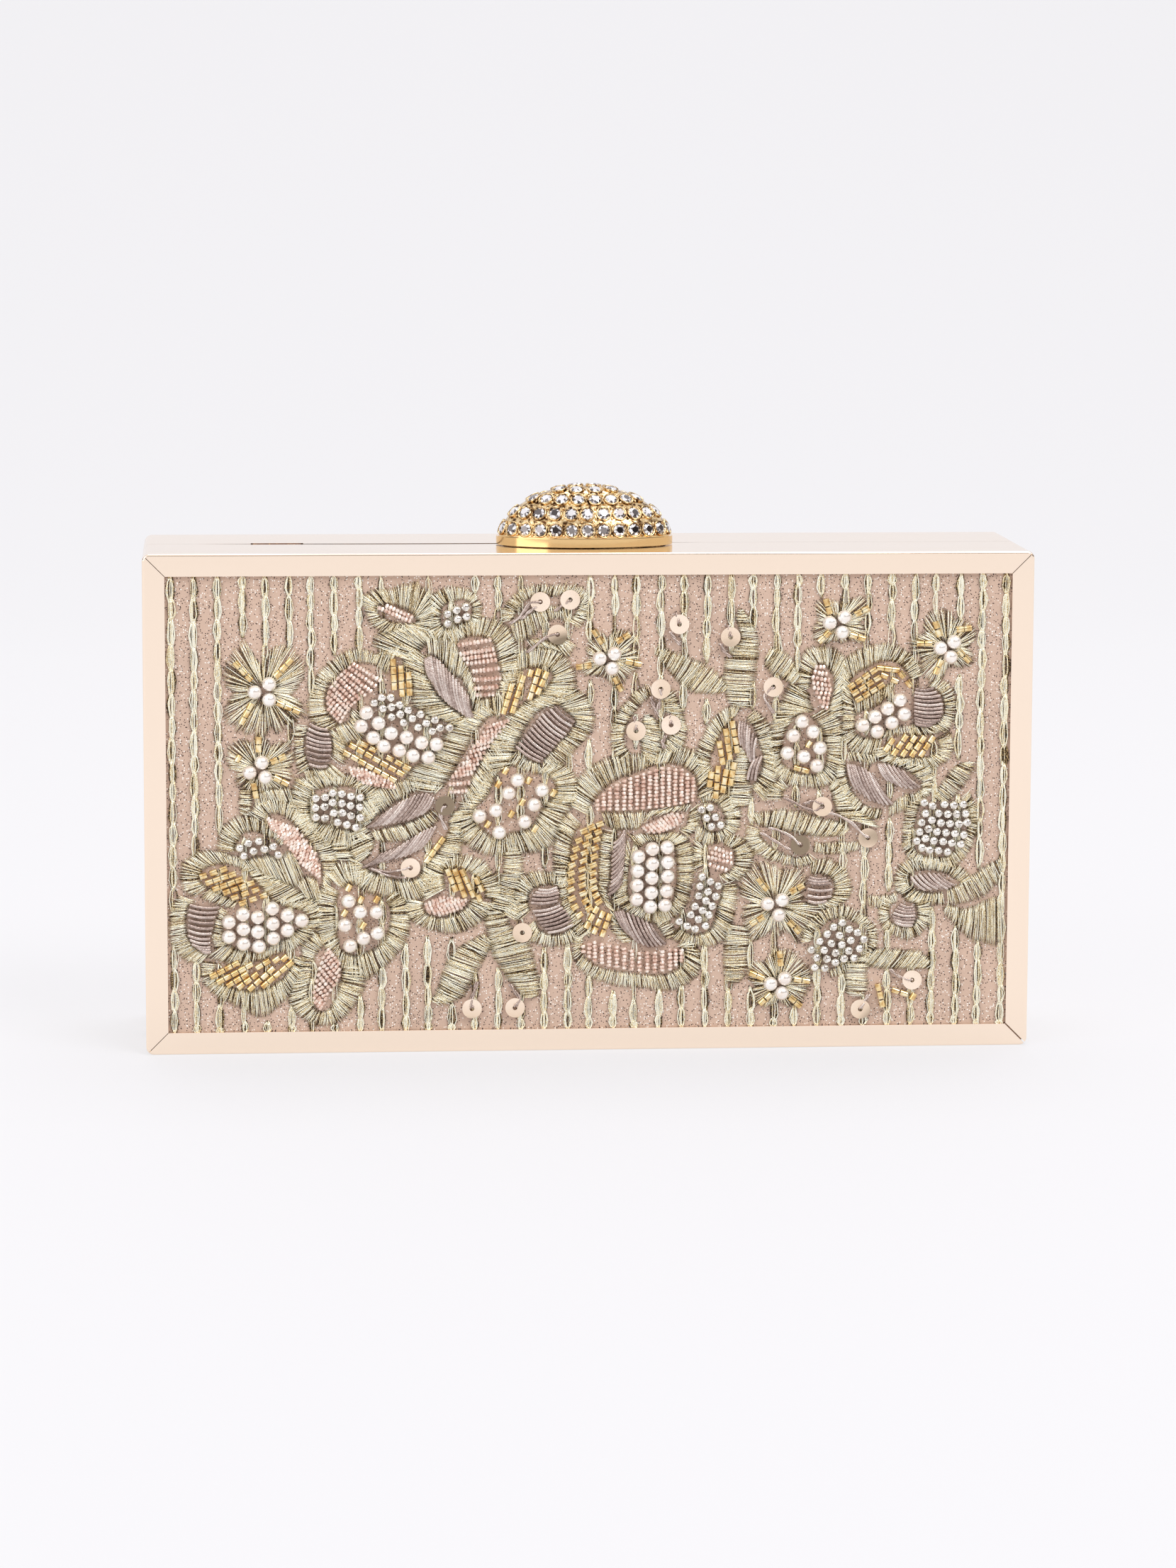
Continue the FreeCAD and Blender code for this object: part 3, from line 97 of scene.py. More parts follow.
SATIN = """
-52.6 69.2 -56.0 67.4, -54.2 71.2 -58.4 70.6, -55.2 73.6 -58.6 73.6, -55.0 75.8 -57.8 76.6,
-54.0 77.8 -56.6 79.6, -52.4 79.6 -54.6 81.8, -50.6 80.9 -51.8 83.6, -48.6 81.7 -49.2 84.8,
-46.8 82.0 -46.6 84.6, -45.2 81.8 -44.4 83.6, -43.8 80.8 -42.4 84.6, -42.4 79.6 -40.6 85.6,
-41.6 82.4 -38.8 86.0;
-53.0 68.6 -51.2 64.4, -51.6 69.2 -49.0 65.4, -50.0 69.8 -47.0 66.0, -49.6 72.4 -47.0 70.2;
-58.8 68.8 -61.2 69.0, -59.4 66.5 -61.4 66.5, -59.6 64.0 -61.2 63.6, -59.2 61.6 -61.0 60.6,
-58.2 60.2 -60.4 58.8;
-54.2 68.8 -52.2 66.4, -53.6 66.6 -50.8 64.8, -53.4 64.4 -50.8 62.8, -53.6 62.2 -51.2 60.6;
-59.4 59.8 -58.6 56.6, -57.4 59.8 -55.6 56.4, -55.4 59.8 -52.6 56.8, -53.8 60.8 -50.4 57.8;
-57.9 55.4 -61.4 57.6, -55.8 55.8 -57.8 58.6, -53.5 56.4 -54.2 59.0, -51.5 56.4 -50.8 58.8,
-49.0 55.8 -47.0 57.6, -47.0 54.4 -44.4 56.4, -46.6 52.5 -42.6 54.0, -46.8 50.2 -43.8 51.2,
-47.6 47.4 -45.8 48.6;
-47.8 46.8 -45.4 45.2, -50.4 46.8 -50.0 43.2, -52.6 47.6 -54.2 43.6, -54.8 48.2 -57.4 44.8,
-57.6 48.8 -60.6 46.6, -58.2 50.2 -62.2 49.8, -58.4 52.0 -62.6 52.6, -58.2 53.8 -62.2 55.4,
-57.9 55.4 -61.2 57.6;
-43.6 91.2 -46.0 90.4, -44.4 92.4 -46.6 92.6, -44.6 93.6 -47.6 95.2, -43.4 94.2 -45.8 96.6,
-41.8 94.2 -43.2 97.0, -40.2 93.8 -40.8 97.4, -38.8 93.0 -38.4 98.2, -37.4 92.4 -36.0 98.4,
-36.4 91.8 -33.6 96.6, -36.0 91.0 -31.6 93.2, -36.0 90.2 -31.4 90.6, -37.2 89.8 -33.6 88.2,
-39.2 89.6 -39.6 88.2, -41.4 90.2 -43.6 88.2, -43.2 91.0 -45.8 90.2;
-31.2 91.4 -34.8 92.8, -31.0 93.2 -33.8 95.6, -29.8 94.4 -31.4 97.0, -28.2 94.8 -28.6 97.6,
-26.4 95.0 -26.0 97.2, -25.0 94.6 -23.8 95.8, -24.4 93.2 -22.6 93.6, -24.6 91.2 -22.8 90.6,
-25.8 90.0 -24.6 88.0, -28.0 89.2 -26.6 86.8, -30.0 88.8 -30.4 86.4, -31.0 89.6 -34.2 87.8,
-31.4 91.0 -34.8 91.0;
-36.4 81.8 -41.6 84.0, -36.0 82.8 -45.2 85.4, -35.8 83.6 -44.8 87.2, -35.4 84.4 -43.0 88.8,
-34.6 85.4 -40.2 89.6, -33.8 86.0 -37.4 89.8, -32.8 86.6 -34.8 89.4, -31.6 86.6 -32.4 88.6;
-34.2 82.8 -37.2 85.0, -34.3 80.8 -38.8 83.2, -33.8 79.0 -38.8 80.8, -33.3 77.4 -37.0 78.4,
-32.6 76.0 -37.0 76.6, -31.6 74.8 -37.4 74.8, -30.6 73.8 -37.2 73.2, -29.4 72.8 -35.6 71.8,
-28.2 71.8 -33.6 70.6, -26.6 70.6 -30.4 69.6, -25.2 70.0 -27.4 68.4;
-33.8 83.6 -34.2 86.8, -32.4 83.4 -32.6 87.2, -31.0 82.0 -30.8 87.4, -29.6 80.6 -28.6 86.6,
-28.2 79.6 -27.4 84.4, -27.0 78.6 -26.0 81.8, -25.8 76.8 -24.8 79.6, -25.0 74.6 -24.2 76.6,
-24.0 71.0 -23.0 75.0;
-28.0 85.2 -30.0 88.4, -27.2 86.8 -27.8 90.2, -25.0 87.4 -25.2 90.6, -23.0 87.4 -22.2 91.2,
-21.2 86.8 -19.0 90.4, -20.0 85.6 -16.6 88.6, -19.6 84.0 -15.4 86.2, -19.2 82.2 -15.0 83.8,
-18.8 80.6 -14.6 81.4, -18.4 79.0 -14.8 79.2, -18.6 77.2 -15.2 77.6, -19.0 75.8 -16.4 75.4;
-20.2 74.8 -19.6 70.8, -21.6 74.6 -21.2 70.6, -23.2 74.2 -23.8 70.6;
-18.6 74.4 -18.0 71.6, -17.4 76.6 -18.8 78.0, -16.2 78.6 -17.0 80.6, -15.2 79.8 -15.4 83.0,
-13.8 80.4 -14.0 84.4, -12.2 80.8 -12.2 85.0, -10.4 81.0 -9.6 85.0, -9.0 80.8 -6.8 84.2,
-8.0 79.8 -4.6 82.2, -7.8 78.4 -3.4 79.8, -8.6 77.2 -3.0 77.2, -9.4 76.2 -3.0 75.4, -10.6 75.2 -4.0 74.0,
-12.0 74.0 -7.8 72.8, -14.0 72.6 -11.0 72.0, -16.0 71.4 -14.6 69.8;
-16.6 90.6 -18.6 90.2, -15.8 91.8 -18.4 92.6, -15.0 93.2 -17.0 94.8, -14.0 94.4 -15.4 96.4,
-12.8 95.4 -13.4 97.4, -10.8 96.0 -10.6 97.8, -8.0 95.6 -7.4 97.6, -5.6 96.0 -5.0 97.8,
-3.2 95.6 -2.0 97.4, -2.0 94.4 -0.8 95.8, -2.6 92.8 -0.6 93.0, -3.4 91.4 -1.0 90.6, -4.6 90.4 -2.4 88.8;
-16.8 90.2 -15.8 86.6, -15.0 91.2 -14.2 86.0, -13.0 92.2 -11.8 87.4, -11.2 92.8 -10.0 89.2,
-9.4 93.4 -8.6 90.6, -7.4 93.4 -7.2 91.0, -5.6 93.0 -5.0 90.2;
-13.0 86.4 -12.0 84.8, -10.8 86.6 -9.2 84.8, -8.8 86.0 -6.8 84.2, -7.0 85.6 -4.8 82.8,
-5.6 86.6 -3.2 85.2;
-9.6 74.6 -5.2 76.4, -7.6 73.6 -2.2 75.8, -6.0 72.4 -0.4 74.2, -5.0 71.4 0.6 72.0, -3.4 70.2 0.9 69.8,
-3.2 69.0 0.3 67.6, -4.6 67.0 -1.2 65.4, -5.8 65.8 -2.8 63.8, -7.0 64.6 -4.2 62.4, -8.4 63.0 -5.6 60.6,
-9.8 61.4 -7.0 58.6;
-8.4 73.0 -11.0 74.4, -10.6 71.8 -13.8 73.4, -12.0 70.4 -15.6 72.0, -13.2 68.6 -17.6 70.6,
-14.4 66.8 -19.0 68.8, -15.4 65.0 -20.4 66.2, -16.0 63.4 -21.6 63.8, -16.2 61.8 -22.6 61.2,
-16.8 60.0 -22.8 58.6;
-15.4 63.2 -17.2 60.6, -13.4 61.6 -14.4 59.2, -11.8 60.8 -12.0 58.6, -10.4 60.6 -9.6 58.2;
-19.8 71.2 -22.6 73.6, -21.6 70.2 -25.0 71.8, -23.0 68.4 -27.6 69.8, -24.4 66.6 -29.4 68.0,
-25.4 64.6 -31.0 66.0, -26.4 62.8 -31.8 64.2, -27.6 60.8 -33.0 62.6, -28.6 58.8 -35.6 61.0,
-29.8 57.2 -37.8 59.2, -30.6 55.8 -38.6 57.4, -32.0 55.0 -37.4 56.0;
-17.2 68.6 -15.8 66.4, -19.4 67.2 -17.0 63.8, -21.2 64.6 -18.4 61.0, -22.4 62.4 -19.6 58.8,
-23.4 60.2 -20.4 56.6, -24.6 58.0 -21.4 54.2, -25.2 56.0 -22.8 52.6, -26.6 54.8 -25.4 51.0;
-18.4 59.8 -17.6 61.4, -20.2 57.8 -21.8 59.0, -20.8 55.6 -23.6 56.6, -21.8 53.4 -25.0 54.2,
-23.8 51.8 -27.2 52.2, -24.6 50.4 -27.8 50.4, -24.3 48.6 -27.6 47.0, -23.2 47.4 -26.6 44.4,
-21.8 46.2 -24.0 42.4, -20.2 45.2 -21.2 41.4, -18.4 44.8 -18.4 41.4, -16.8 46.0 -15.8 41.6,
-15.0 46.2 -13.0 41.8, -13.2 46.8 -10.2 42.2, -11.6 48.0 -7.6 43.6, -10.8 49.6 -6.2 46.2,
-10.0 51.2 -5.4 49.4, -8.8 52.6 -3.8 51.6, -7.4 54.0 -2.2 53.6, -7.0 55.8 -2.2 56.2, -7.8 57.4 -3.6 58.8,
-9.4 58.6 -6.2 60.8, -11.0 58.8 -9.4 60.4;
-45.4 46.6 -44.4 44.8, -43.0 47.2 -41.6 44.4, -40.4 47.8 -38.6 44.6, -37.6 48.4 -36.0 45.8,
-35.0 49.6 -33.4 47.4, -33.0 51.0 -31.2 49.4;
-46.8 48.0 -48.4 50.4, -45.4 49.2 -47.8 52.8, -43.2 50.8 -45.8 54.8, -41.0 52.4 -43.2 56.2,
-38.8 54.0 -40.2 57.2, -36.2 55.2 -37.0 57.8, -33.8 55.6 -33.4 57.6, -32.4 54.4 -30.8 56.2;
-47.4 39.8 -50.4 41.4, -46.6 38.8 -50.6 38.2, -45.8 38.2 -49.0 35.4, -44.6 37.8 -46.2 33.6,
-42.8 37.2 -43.6 33.0, -41.2 36.6 -40.6 32.6, -39.6 36.2 -38.2 31.8, -38.0 36.2 -36.2 31.6,
-36.2 36.6 -34.0 33.0, -35.2 37.6 -31.6 34.6, -35.0 39.2 -30.8 37.2;
-34.2 40.2 -31.2 38.8, -32.4 41.4 -28.4 40.6, -31.0 43.2 -27.0 42.4, -30.2 45.0 -26.6 44.4,
-29.4 46.8 -26.8 46.8, -29.4 48.8 -27.0 49.2, -28.4 50.6 -25.2 51.0;
-30.4 34.4 -34.8 32.0, -30.6 35.8 -35.8 34.6, -30.8 37.2 -34.8 38.0, -30.4 38.8 -32.6 41.0,
-28.6 39.0 -28.6 41.4, -26.8 38.8 -25.4 41.4, -25.2 38.0 -22.8 40.6, -23.8 37.0 -21.0 38.8,
-22.6 35.6 -19.6 36.6, -21.8 34.0 -18.6 34.4, -21.8 32.4 -18.4 32.2;
-34.8 31.6 -38.4 32.4, -35.2 30.4 -38.8 29.6, -34.6 29.4 -37.0 27.6, -33.2 28.6 -34.4 26.2,
-31.6 28.2 -31.8 25.4, -30.0 28.4 -29.2 25.0, -28.4 29.0 -26.6 25.4, -26.8 29.8 -24.2 26.4,
-25.6 30.8 -22.2 27.8, -25.0 31.6 -20.4 29.4, -24.6 32.2 -19.4 31.0;
-17.9 43.0 -14.6 43.0, -17.9 40.0 -14.2 40.2, -18.2 37.6 -14.2 37.4, -19.0 35.8 -14.6 34.6,
-20.0 34.0 -15.4 32.6, -20.6 31.8 -16.4 30.8, -21.0 30.0 -17.0 29.0;
-22.2 24.8 -20.6 23.0, -25.0 23.4 -21.2 21.2, -27.6 21.8 -22.2 19.4, -29.6 19.6 -23.4 17.4,
-30.6 17.0 -24.6 14.6, -31.4 14.4 -26.4 11.8, -32.4 11.4 -29.4 10.2, -32.8 10.8 -31.6 10.0;
-21.8 29.4 -18.4 29.8, -21.8 26.8 -17.0 27.6, -21.2 23.8 -15.8 25.2, -20.6 21.6 -13.0 23.6,
-20.0 19.6 -12.2 21.2, -18.4 17.6 -11.6 18.8, -17.4 15.6 -11.0 16.4, -15.8 13.6 -10.6 14.0,
-13.6 11.2 -11.0 11.4;
-18.4 29.4 -15.4 27.4, -17.4 31.2 -14.4 29.2, -16.6 32.8 -14.2 31.4;
-12.6 29.6 -15.0 27.6, -13.0 31.4 -16.2 30.6, -13.0 33.0 -15.8 34.0, -12.2 34.2 -14.6 37.0,
-10.4 35.0 -11.6 37.8, -8.6 35.2 -9.0 37.8, -6.8 35.2 -6.4 37.6, -5.6 34.6 -4.2 36.6;
-11.6 27.4 -13.8 25.6, -11.0 25.8 -12.4 23.0, -9.6 24.8 -10.2 22.4, -8.0 24.4 -8.0 22.0,
-6.0 24.4 -5.6 22.2, -4.4 25.2 -3.4 23.0, -3.2 26.4 -2.0 24.6;
-2.0 48.0 -4.6 50.4, -3.2 46.2 -6.4 48.4, -3.8 44.2 -7.0 46.0, -4.2 42.2 -7.4 43.4, -4.4 40.2 -7.8 41.0,
-4.6 38.2 -7.6 38.6, -4.6 36.4 -7.4 36.4, -4.6 34.4 -6.4 34.0, -4.4 32.4 -6.0 31.6, -3.8 30.6 -5.4 29.4,
-2.6 28.6 -4.6 27.2, -1.4 26.8 -3.6 25.0, 0.0 25.2 -2.4 23.4;
13.4 83.4 13.8 84.9, 14.8 81.4 16.2 84.1, 16.4 79.7 18.4 83.4, 18.0 77.8 20.8 82.6, 19.6 76.2 23.2 81.4,
21.6 75.2 25.4 80.0, 24.0 75.1 26.9 78.7, 26.2 75.1 28.0 77.2, 27.6 75.4 28.4 76.4;
30.6 92.6 31.6 92.6, 30.4 90.4 33.2 90.4, 31.0 88.2 34.4 88.0, 31.2 86.4 34.9 86.0, 29.6 84.4 34.9 84.0,
28.2 82.4 34.7 82.0, 27.8 80.4 34.5 80.0, 27.6 78.2 34.2 77.8, 27.9 76.0 33.9 75.6, 28.6 73.8 33.5 73.6,
29.4 72.6 33.1 72.0;
36.4 82.6 37.2 84.1, 36.4 80.6 38.8 84.4, 37.6 79.2 40.6 83.6, 39.4 78.6 41.8 82.0, 41.0 77.6 42.8 80.2,
42.0 77.0 43.6 78.8;
12.4 74.8 11.6 76.8, 11.0 73.6 9.4 75.6, 9.8 72.2 7.8 73.8, 8.6 70.8 6.2 72.0, 7.6 69.2 5.0 69.8,
7.0 67.4 4.2 67.4, 6.8 65.4 4.2 65.0, 7.2 63.8 4.8 62.8, 8.0 62.6 6.2 60.8;
15.4 74.4 17.0 75.8, 15.0 72.8 18.2 73.4, 15.8 71.4 19.2 70.8, 18.4 68.8 20.0 68.0, 18.0 66.8 20.0 66.2,
16.4 66.2 19.6 64.4, 15.6 65.0 18.2 62.8, 15.0 63.4 17.0 61.6;
11.4 70.6 12.2 70.6, 10.8 69.4 13.8 69.6, 10.4 67.8 14.8 67.0, 10.4 66.0 15.0 64.8, 10.6 64.2 15.0 62.8,
10.8 62.6 14.4 61.0, 11.6 61.4 12.8 60.8;
-0.4 49.8 -4.0 51.4, 0.2 51.8 -4.4 54.6, 1.4 53.8 -2.6 57.4, 2.8 55.4 0.0 59.8, 4.6 56.6 2.6 61.4,
6.4 57.6 5.4 62.2, 8.2 58.3 7.8 62.6, 10.0 58.9 9.8 62.6, 11.8 59.6 12.0 62.0, 13.4 60.2 14.0 62.4,
15.2 60.5 16.4 63.4, 17.2 60.5 18.6 64.0, 19.2 60.0 20.8 63.4, 21.0 58.8 23.2 61.8, 22.2 57.2 25.0 60.0,
22.6 55.2 25.2 57.4, 22.6 53.0 26.0 54.6;
30.2 70.2 31.4 72.6, 28.8 69.4 28.4 72.2, 27.6 67.6 26.0 70.4, 26.6 65.8 24.4 68.0, 25.8 64.0 23.2 65.6,
25.2 62.2 22.2 63.4, 24.8 60.4 21.8 61.2, 24.6 58.6 22.4 58.8;
32.6 70.0 34.4 71.4, 33.8 68.4 36.6 69.6, 34.8 66.4 37.6 67.4, 35.4 64.4 38.0 64.8, 36.0 62.4 38.8 62.0,
36.2 60.4 39.4 59.2, 35.6 58.4 39.0 56.6, 34.8 56.6 38.0 54.2, 33.8 55.2 36.2 52.4;
30.6 63.6 32.8 63.6, 30.4 61.4 33.4 61.4, 29.4 59.4 33.2 59.4, 29.2 57.2 32.8 57.2, 29.2 55.2 33.8 55.2,
29.0 53.4 34.0 53.0, 28.8 51.6 32.6 51.2;
45.6 76.2 42.8 75.6, 45.8 78.2 43.0 78.6, 46.4 80.0 43.6 81.8, 47.4 81.2 45.2 84.4, 48.8 81.2 48.0 84.8,
49.8 80.0 50.8 84.4, 50.6 78.4 52.8 82.8, 51.0 76.8 53.6 80.4, 50.8 75.0 53.4 77.6, 50.2 73.2 53.0 74.8,
49.8 71.6 52.6 72.6, 50.4 70.0 53.2 70.2;
45.6 75.0 41.6 77.2, 45.8 73.2 40.6 75.4, 46.6 71.2 39.8 73.2, 44.6 71.0 38.8 71.4, 42.0 69.8 38.2 69.2,
41.0 67.8 37.8 67.0, 40.0 64.8 37.0 64.8, 39.6 62.6 36.8 62.0, 39.8 60.6 37.6 59.0, 41.2 59.0 39.8 56.6,
43.0 58.2 42.4 55.6, 45.0 57.8 45.2 55.2, 47.0 57.8 47.8 55.0, 48.8 58.4 50.8 56.0, 49.4 60.4 52.4 59.0,
49.6 62.4 52.8 62.0, 49.2 64.6 52.6 64.8, 48.8 66.6 52.8 67.4, 47.8 68.4 51.8 70.0, 46.0 70.2 49.2 72.2;
55.0 76.4 52.0 79.4, 54.4 74.4 52.2 76.2, 55.0 72.0 52.6 72.8, 55.2 70.0 52.8 70.2, 55.0 68.0 52.6 67.6,
55.2 66.4 52.6 65.0, 56.8 65.6 54.6 62.6, 58.8 65.4 57.4 61.8, 60.8 65.4 60.2 62.4;
55.2 73.8 55.4 70.4, 57.4 74.2 57.8 71.4, 59.6 75.2 59.8 72.2, 61.6 76.6 61.0 73.2, 63.4 77.0 63.2 75.2;
53.4 76.8 52.2 80.2, 54.6 78.4 53.6 82.6, 56.6 79.8 55.8 84.0, 58.6 81.0 58.4 85.0, 60.8 81.8 61.4 85.2,
62.8 81.8 64.2 84.8, 64.8 80.8 66.8 83.2, 66.2 79.4 68.6 81.0, 67.0 77.6 69.2 78.6;
70.6 76.2 72.4 78.4, 72.8 75.4 74.8 77.0, 73.8 73.8 76.2 74.8, 74.2 72.0 76.4 72.2, 74.0 70.2 76.2 69.6,
72.6 68.4 75.0 67.0, 70.0 67.8 71.6 66.2, 67.2 67.8 67.6 66.2, 64.0 68.0 64.4 66.2, 61.4 66.6 60.8 65.4;
72.6 65.4 75.2 66.8, 73.4 63.8 76.2 63.8, 72.8 62.2 75.4 61.0, 71.0 61.4 72.8 59.4, 69.0 61.2 69.8 59.0,
67.0 61.2 66.8 59.2, 65.0 61.2 63.8 59.6, 62.4 61.8 60.4 60.8, 61.6 63.6 58.8 63.2;
53.2 60.2 51.2 61.0, 53.4 58.0 51.2 57.6, 54.0 56.0 51.8 55.0, 54.8 54.2 52.8 52.8, 55.8 52.8 54.0 50.8,
57.4 51.4 55.8 49.4, 59.2 50.4 58.2 48.6, 61.2 50.2 60.8 48.4;
54.2 60.8 53.8 62.6, 56.6 60.6 55.8 62.6, 58.8 60.0 57.8 62.2, 60.0 60.8 59.6 61.8;
62.0 60.6 63.6 61.6, 64.0 60.0 66.4 61.0, 66.0 59.0 68.6 60.2, 67.8 57.8 71.6 59.4, 69.4 56.4 72.2 57.2,
69.8 54.6 71.8 54.4, 68.4 53.6 69.0 51.6, 66.2 53.4 66.4 50.8, 64.4 52.4 64.6 49.8, 62.6 50.8 62.6 49.2;
78.4 60.2 80.4 60.2, 76.8 59.6 80.0 58.0, 75.4 58.2 78.8 56.0, 74.2 56.6 77.6 54.2, 73.2 54.6 75.8 52.6,
72.2 52.8 73.6 52.0;
77.8 52.4 79.4 54.0, 79.2 50.6 81.0 51.2, 79.6 48.4 81.4 48.6, 79.4 46.0 81.2 45.4, 78.4 43.6 80.2 42.4,
77.0 41.6 78.6 39.8, 75.0 40.2 76.2 37.8, 73.0 40.0 73.2 37.8, 70.8 40.2 70.4 38.0, 68.6 41.2 67.4 39.6,
67.2 43.2 65.6 42.6, 67.6 45.4 65.6 45.4, 68.2 48.6 66.0 48.6, 68.8 50.6 66.2 51.2, 70.0 52.6 68.4 53.8;
78.4 34.6 80.4 35.6, 76.8 35.8 78.6 37.6, 75.0 36.8 75.8 38.8, 72.8 37.4 73.0 39.6, 70.6 37.6 70.2 40.0,
68.6 37.4 67.4 40.0, 67.0 36.8 65.0 38.6, 66.4 35.6 64.2 36.0, 66.8 34.4 64.2 33.4, 68.2 33.4 66.2 31.6,
70.0 32.8 68.6 30.6, 72.0 32.4 71.6 30.2, 74.2 32.6 74.6 30.2;
75.2 33.2 75.6 30.2, 77.0 34.0 78.6 30.4, 79.0 35.4 81.2 31.2, 81.0 36.6 83.4 32.2, 82.6 37.8 85.0 33.8,
84.6 38.8 86.2 35.6, 86.4 39.6 86.8 38.0;
75.0 29.8 74.4 29.0, 76.8 29.6 76.2 26.6, 78.8 29.0 78.0 24.6, 80.8 29.6 80.0 22.8, 82.8 30.6 82.6 22.2,
84.8 31.4 85.0 21.4, 86.6 31.6 86.8 21.2;
64.6 31.0 64.4 33.0, 63.2 30.2 61.2 31.2, 62.8 28.2 60.6 28.4, 63.0 26.6 61.8 24.8, 64.8 25.6 64.4 23.4,
66.6 25.4 66.8 22.6, 68.4 25.8 69.6 23.6, 69.2 27.4 71.8 26.4, 69.2 29.2 72.2 29.4, 68.4 30.6 70.6 31.6,
66.4 31.0 67.0 33.0;
58.6 32.0 58.6 30.0, 60.6 32.0 60.6 29.8, 62.6 32.2 62.6 29.8;
57.4 18.4 58.6 20.6, 59.0 17.0 62.0 20.8, 61.6 16.6 64.6 20.6, 64.2 16.6 67.2 20.4, 66.8 16.6 69.6 20.2,
69.2 16.6 71.2 18.8, 71.0 16.6 72.0 17.2;
53.8 18.0 58.6 18.0, 53.8 15.6 58.4 15.4, 54.0 13.0 58.6 12.8, 54.6 11.0 57.8 10.8;
46.4 22.6 44.4 22.6, 46.8 24.0 45.0 25.2, 48.6 25.8 46.6 27.2, 50.0 26.8 48.6 29.2, 51.6 27.6 51.2 30.0,
53.6 27.8 54.2 30.0, 56.4 26.2 58.0 27.6, 58.4 25.0 60.0 25.6, 59.0 23.0 60.6 22.6, 58.4 21.0 60.0 20.2,
57.2 19.2 58.6 18.2, 54.6 18.2 55.0 16.8, 52.8 17.4 53.4 15.6, 50.4 16.2 50.8 14.8;
34.8 47.8 33.4 49.6, 36.6 47.0 37.0 50.2, 39.2 46.4 40.4 50.6, 42.0 45.9 43.4 50.2, 44.8 45.3 46.6 49.3,
47.6 44.9 49.8 48.4, 50.4 44.9 52.4 47.8, 53.0 45.0 54.4 46.6;
50.0 55.2 51.2 57.2, 50.8 53.6 53.6 55.2, 51.2 51.8 54.8 52.2, 51.6 50.0 56.4 50.2, 53.4 48.8 58.8 48.6,
55.6 48.0 60.6 46.6;
46.8 41.6 47.2 43.4, 49.2 41.2 49.4 43.4, 51.6 41.2 52.0 43.4, 54.0 41.4 54.4 43.4, 56.2 42.0 56.6 43.6;
40.2 53.0 36.2 53.0, 40.0 54.4 37.0 55.4, 41.4 55.2 39.8 57.0;
35.4 46.4 32.6 47.2, 35.6 44.8 32.4 44.2, 36.8 43.4 34.4 41.6, 38.6 42.0 37.0 40.2, 41.0 40.8 40.6 39.0,
43.6 40.2 44.0 38.4, 46.0 40.8 47.2 39.0;
46.2 37.0 46.4 39.4, 48.4 36.9 49.8 40.2, 50.4 36.4 52.8 38.8, 51.4 35.2 54.4 36.6, 51.6 33.6 55.0 34.0,
51.0 32.0 54.4 31.6, 49.8 31.0 52.4 30.0, 47.6 30.8 48.4 29.6;
28.6 26.6 33.0 25.8, 28.4 24.4 33.6 23.8, 28.2 22.0 33.4 22.0, 28.2 19.6 33.2 19.8, 28.2 17.4 33.0 17.4,
28.4 15.4 32.6 15.2, 28.8 14.2 31.4 14.0;
8.4 41.8 7.6 44.4, 8.0 39.6 6.8 40.2, 7.8 37.4 6.8 37.2, 7.6 35.0 5.8 34.2, 7.8 32.6 4.8 31.4,
9.2 31.2 6.6 29.8, 11.0 29.8 9.8 28.0, 13.2 29.4 13.2 26.8, 15.4 29.4 16.4 27.0, 17.0 30.4 18.6 28.6,
17.8 32.4 20.4 31.0, 18.2 34.8 21.2 34.0, 18.4 37.0 21.6 37.0, 18.2 39.4 21.6 39.6, 18.0 41.6 21.4 42.4,
17.4 43.4 20.4 45.0, 16.0 44.4 17.4 46.0, 14.0 44.2 13.6 45.4, 12.0 44.0 10.6 45.6, 10.0 42.8 8.0 45.4;
2.8 46.6 5.0 46.0, 2.2 44.0 4.6 43.4, 2.0 41.6 4.2 41.2, 1.8 39.0 4.2 38.8, 1.8 36.4 4.2 36.4,
1.8 34.2 3.6 33.8, 2.6 32.2 4.2 31.0, 3.6 30.2 5.2 29.2;
3.4 47.6 2.4 50.2, 5.4 46.6 4.6 50.2, 7.6 46.8 6.8 50.2, 9.8 46.6 9.2 50.2, 10.6 47.6 11.4 50.4;
20.8 50.6 22.4 51.8, 20.6 48.8 23.0 49.8, 20.2 47.2 22.6 47.6, 19.0 46.4 21.0 45.0;
12.4 50.6 11.0 48.6, 15.4 50.8 13.4 49.6, 18.6 51.4 17.8 50.4, 21.0 52.0 20.2 50.4;
22.4 47.6 21.8 44.4, 24.0 46.4 22.8 43.4, 25.4 45.8 25.2 43.2, 27.2 45.8 28.0 43.8, 28.4 47.4 31.2 46.4,
28.2 49.6 31.6 50.2, 26.8 51.6 29.4 53.6, 25.0 52.6 25.4 54.4, 23.2 52.2 22.8 53.6;
23.6 42.6 21.8 44.2, 23.4 40.8 21.4 40.6, 23.6 38.8 21.8 37.8;
28.0 43.4 28.8 45.6, 30.0 42.4 32.8 44.2, 30.6 40.8 34.4 41.4, 30.4 38.8 33.6 38.2, 29.0 37.2 31.4 35.8,
27.0 36.8 28.6 35.2;
27.8 34.8 30.8 35.2, 27.8 33.0 30.8 32.6, 27.2 31.2 30.6 30.2, 26.8 29.4 30.2 27.6, 26.2 27.4 29.8 25.0,
25.6 25.6 28.0 22.8, 24.0 24.4 25.2 21.8, 22.0 24.0 21.8 21.6, 20.4 24.6 19.2 22.4, 18.8 25.8 16.8 23.6;
5.0 28.4 4.2 29.4, 6.0 26.4 4.4 26.8, 7.4 24.6 5.0 24.6, 9.0 23.0 6.8 22.8;
13.4 27.2 14.8 29.0, 14.8 25.4 17.2 26.4, 16.0 23.4 18.2 24.4;
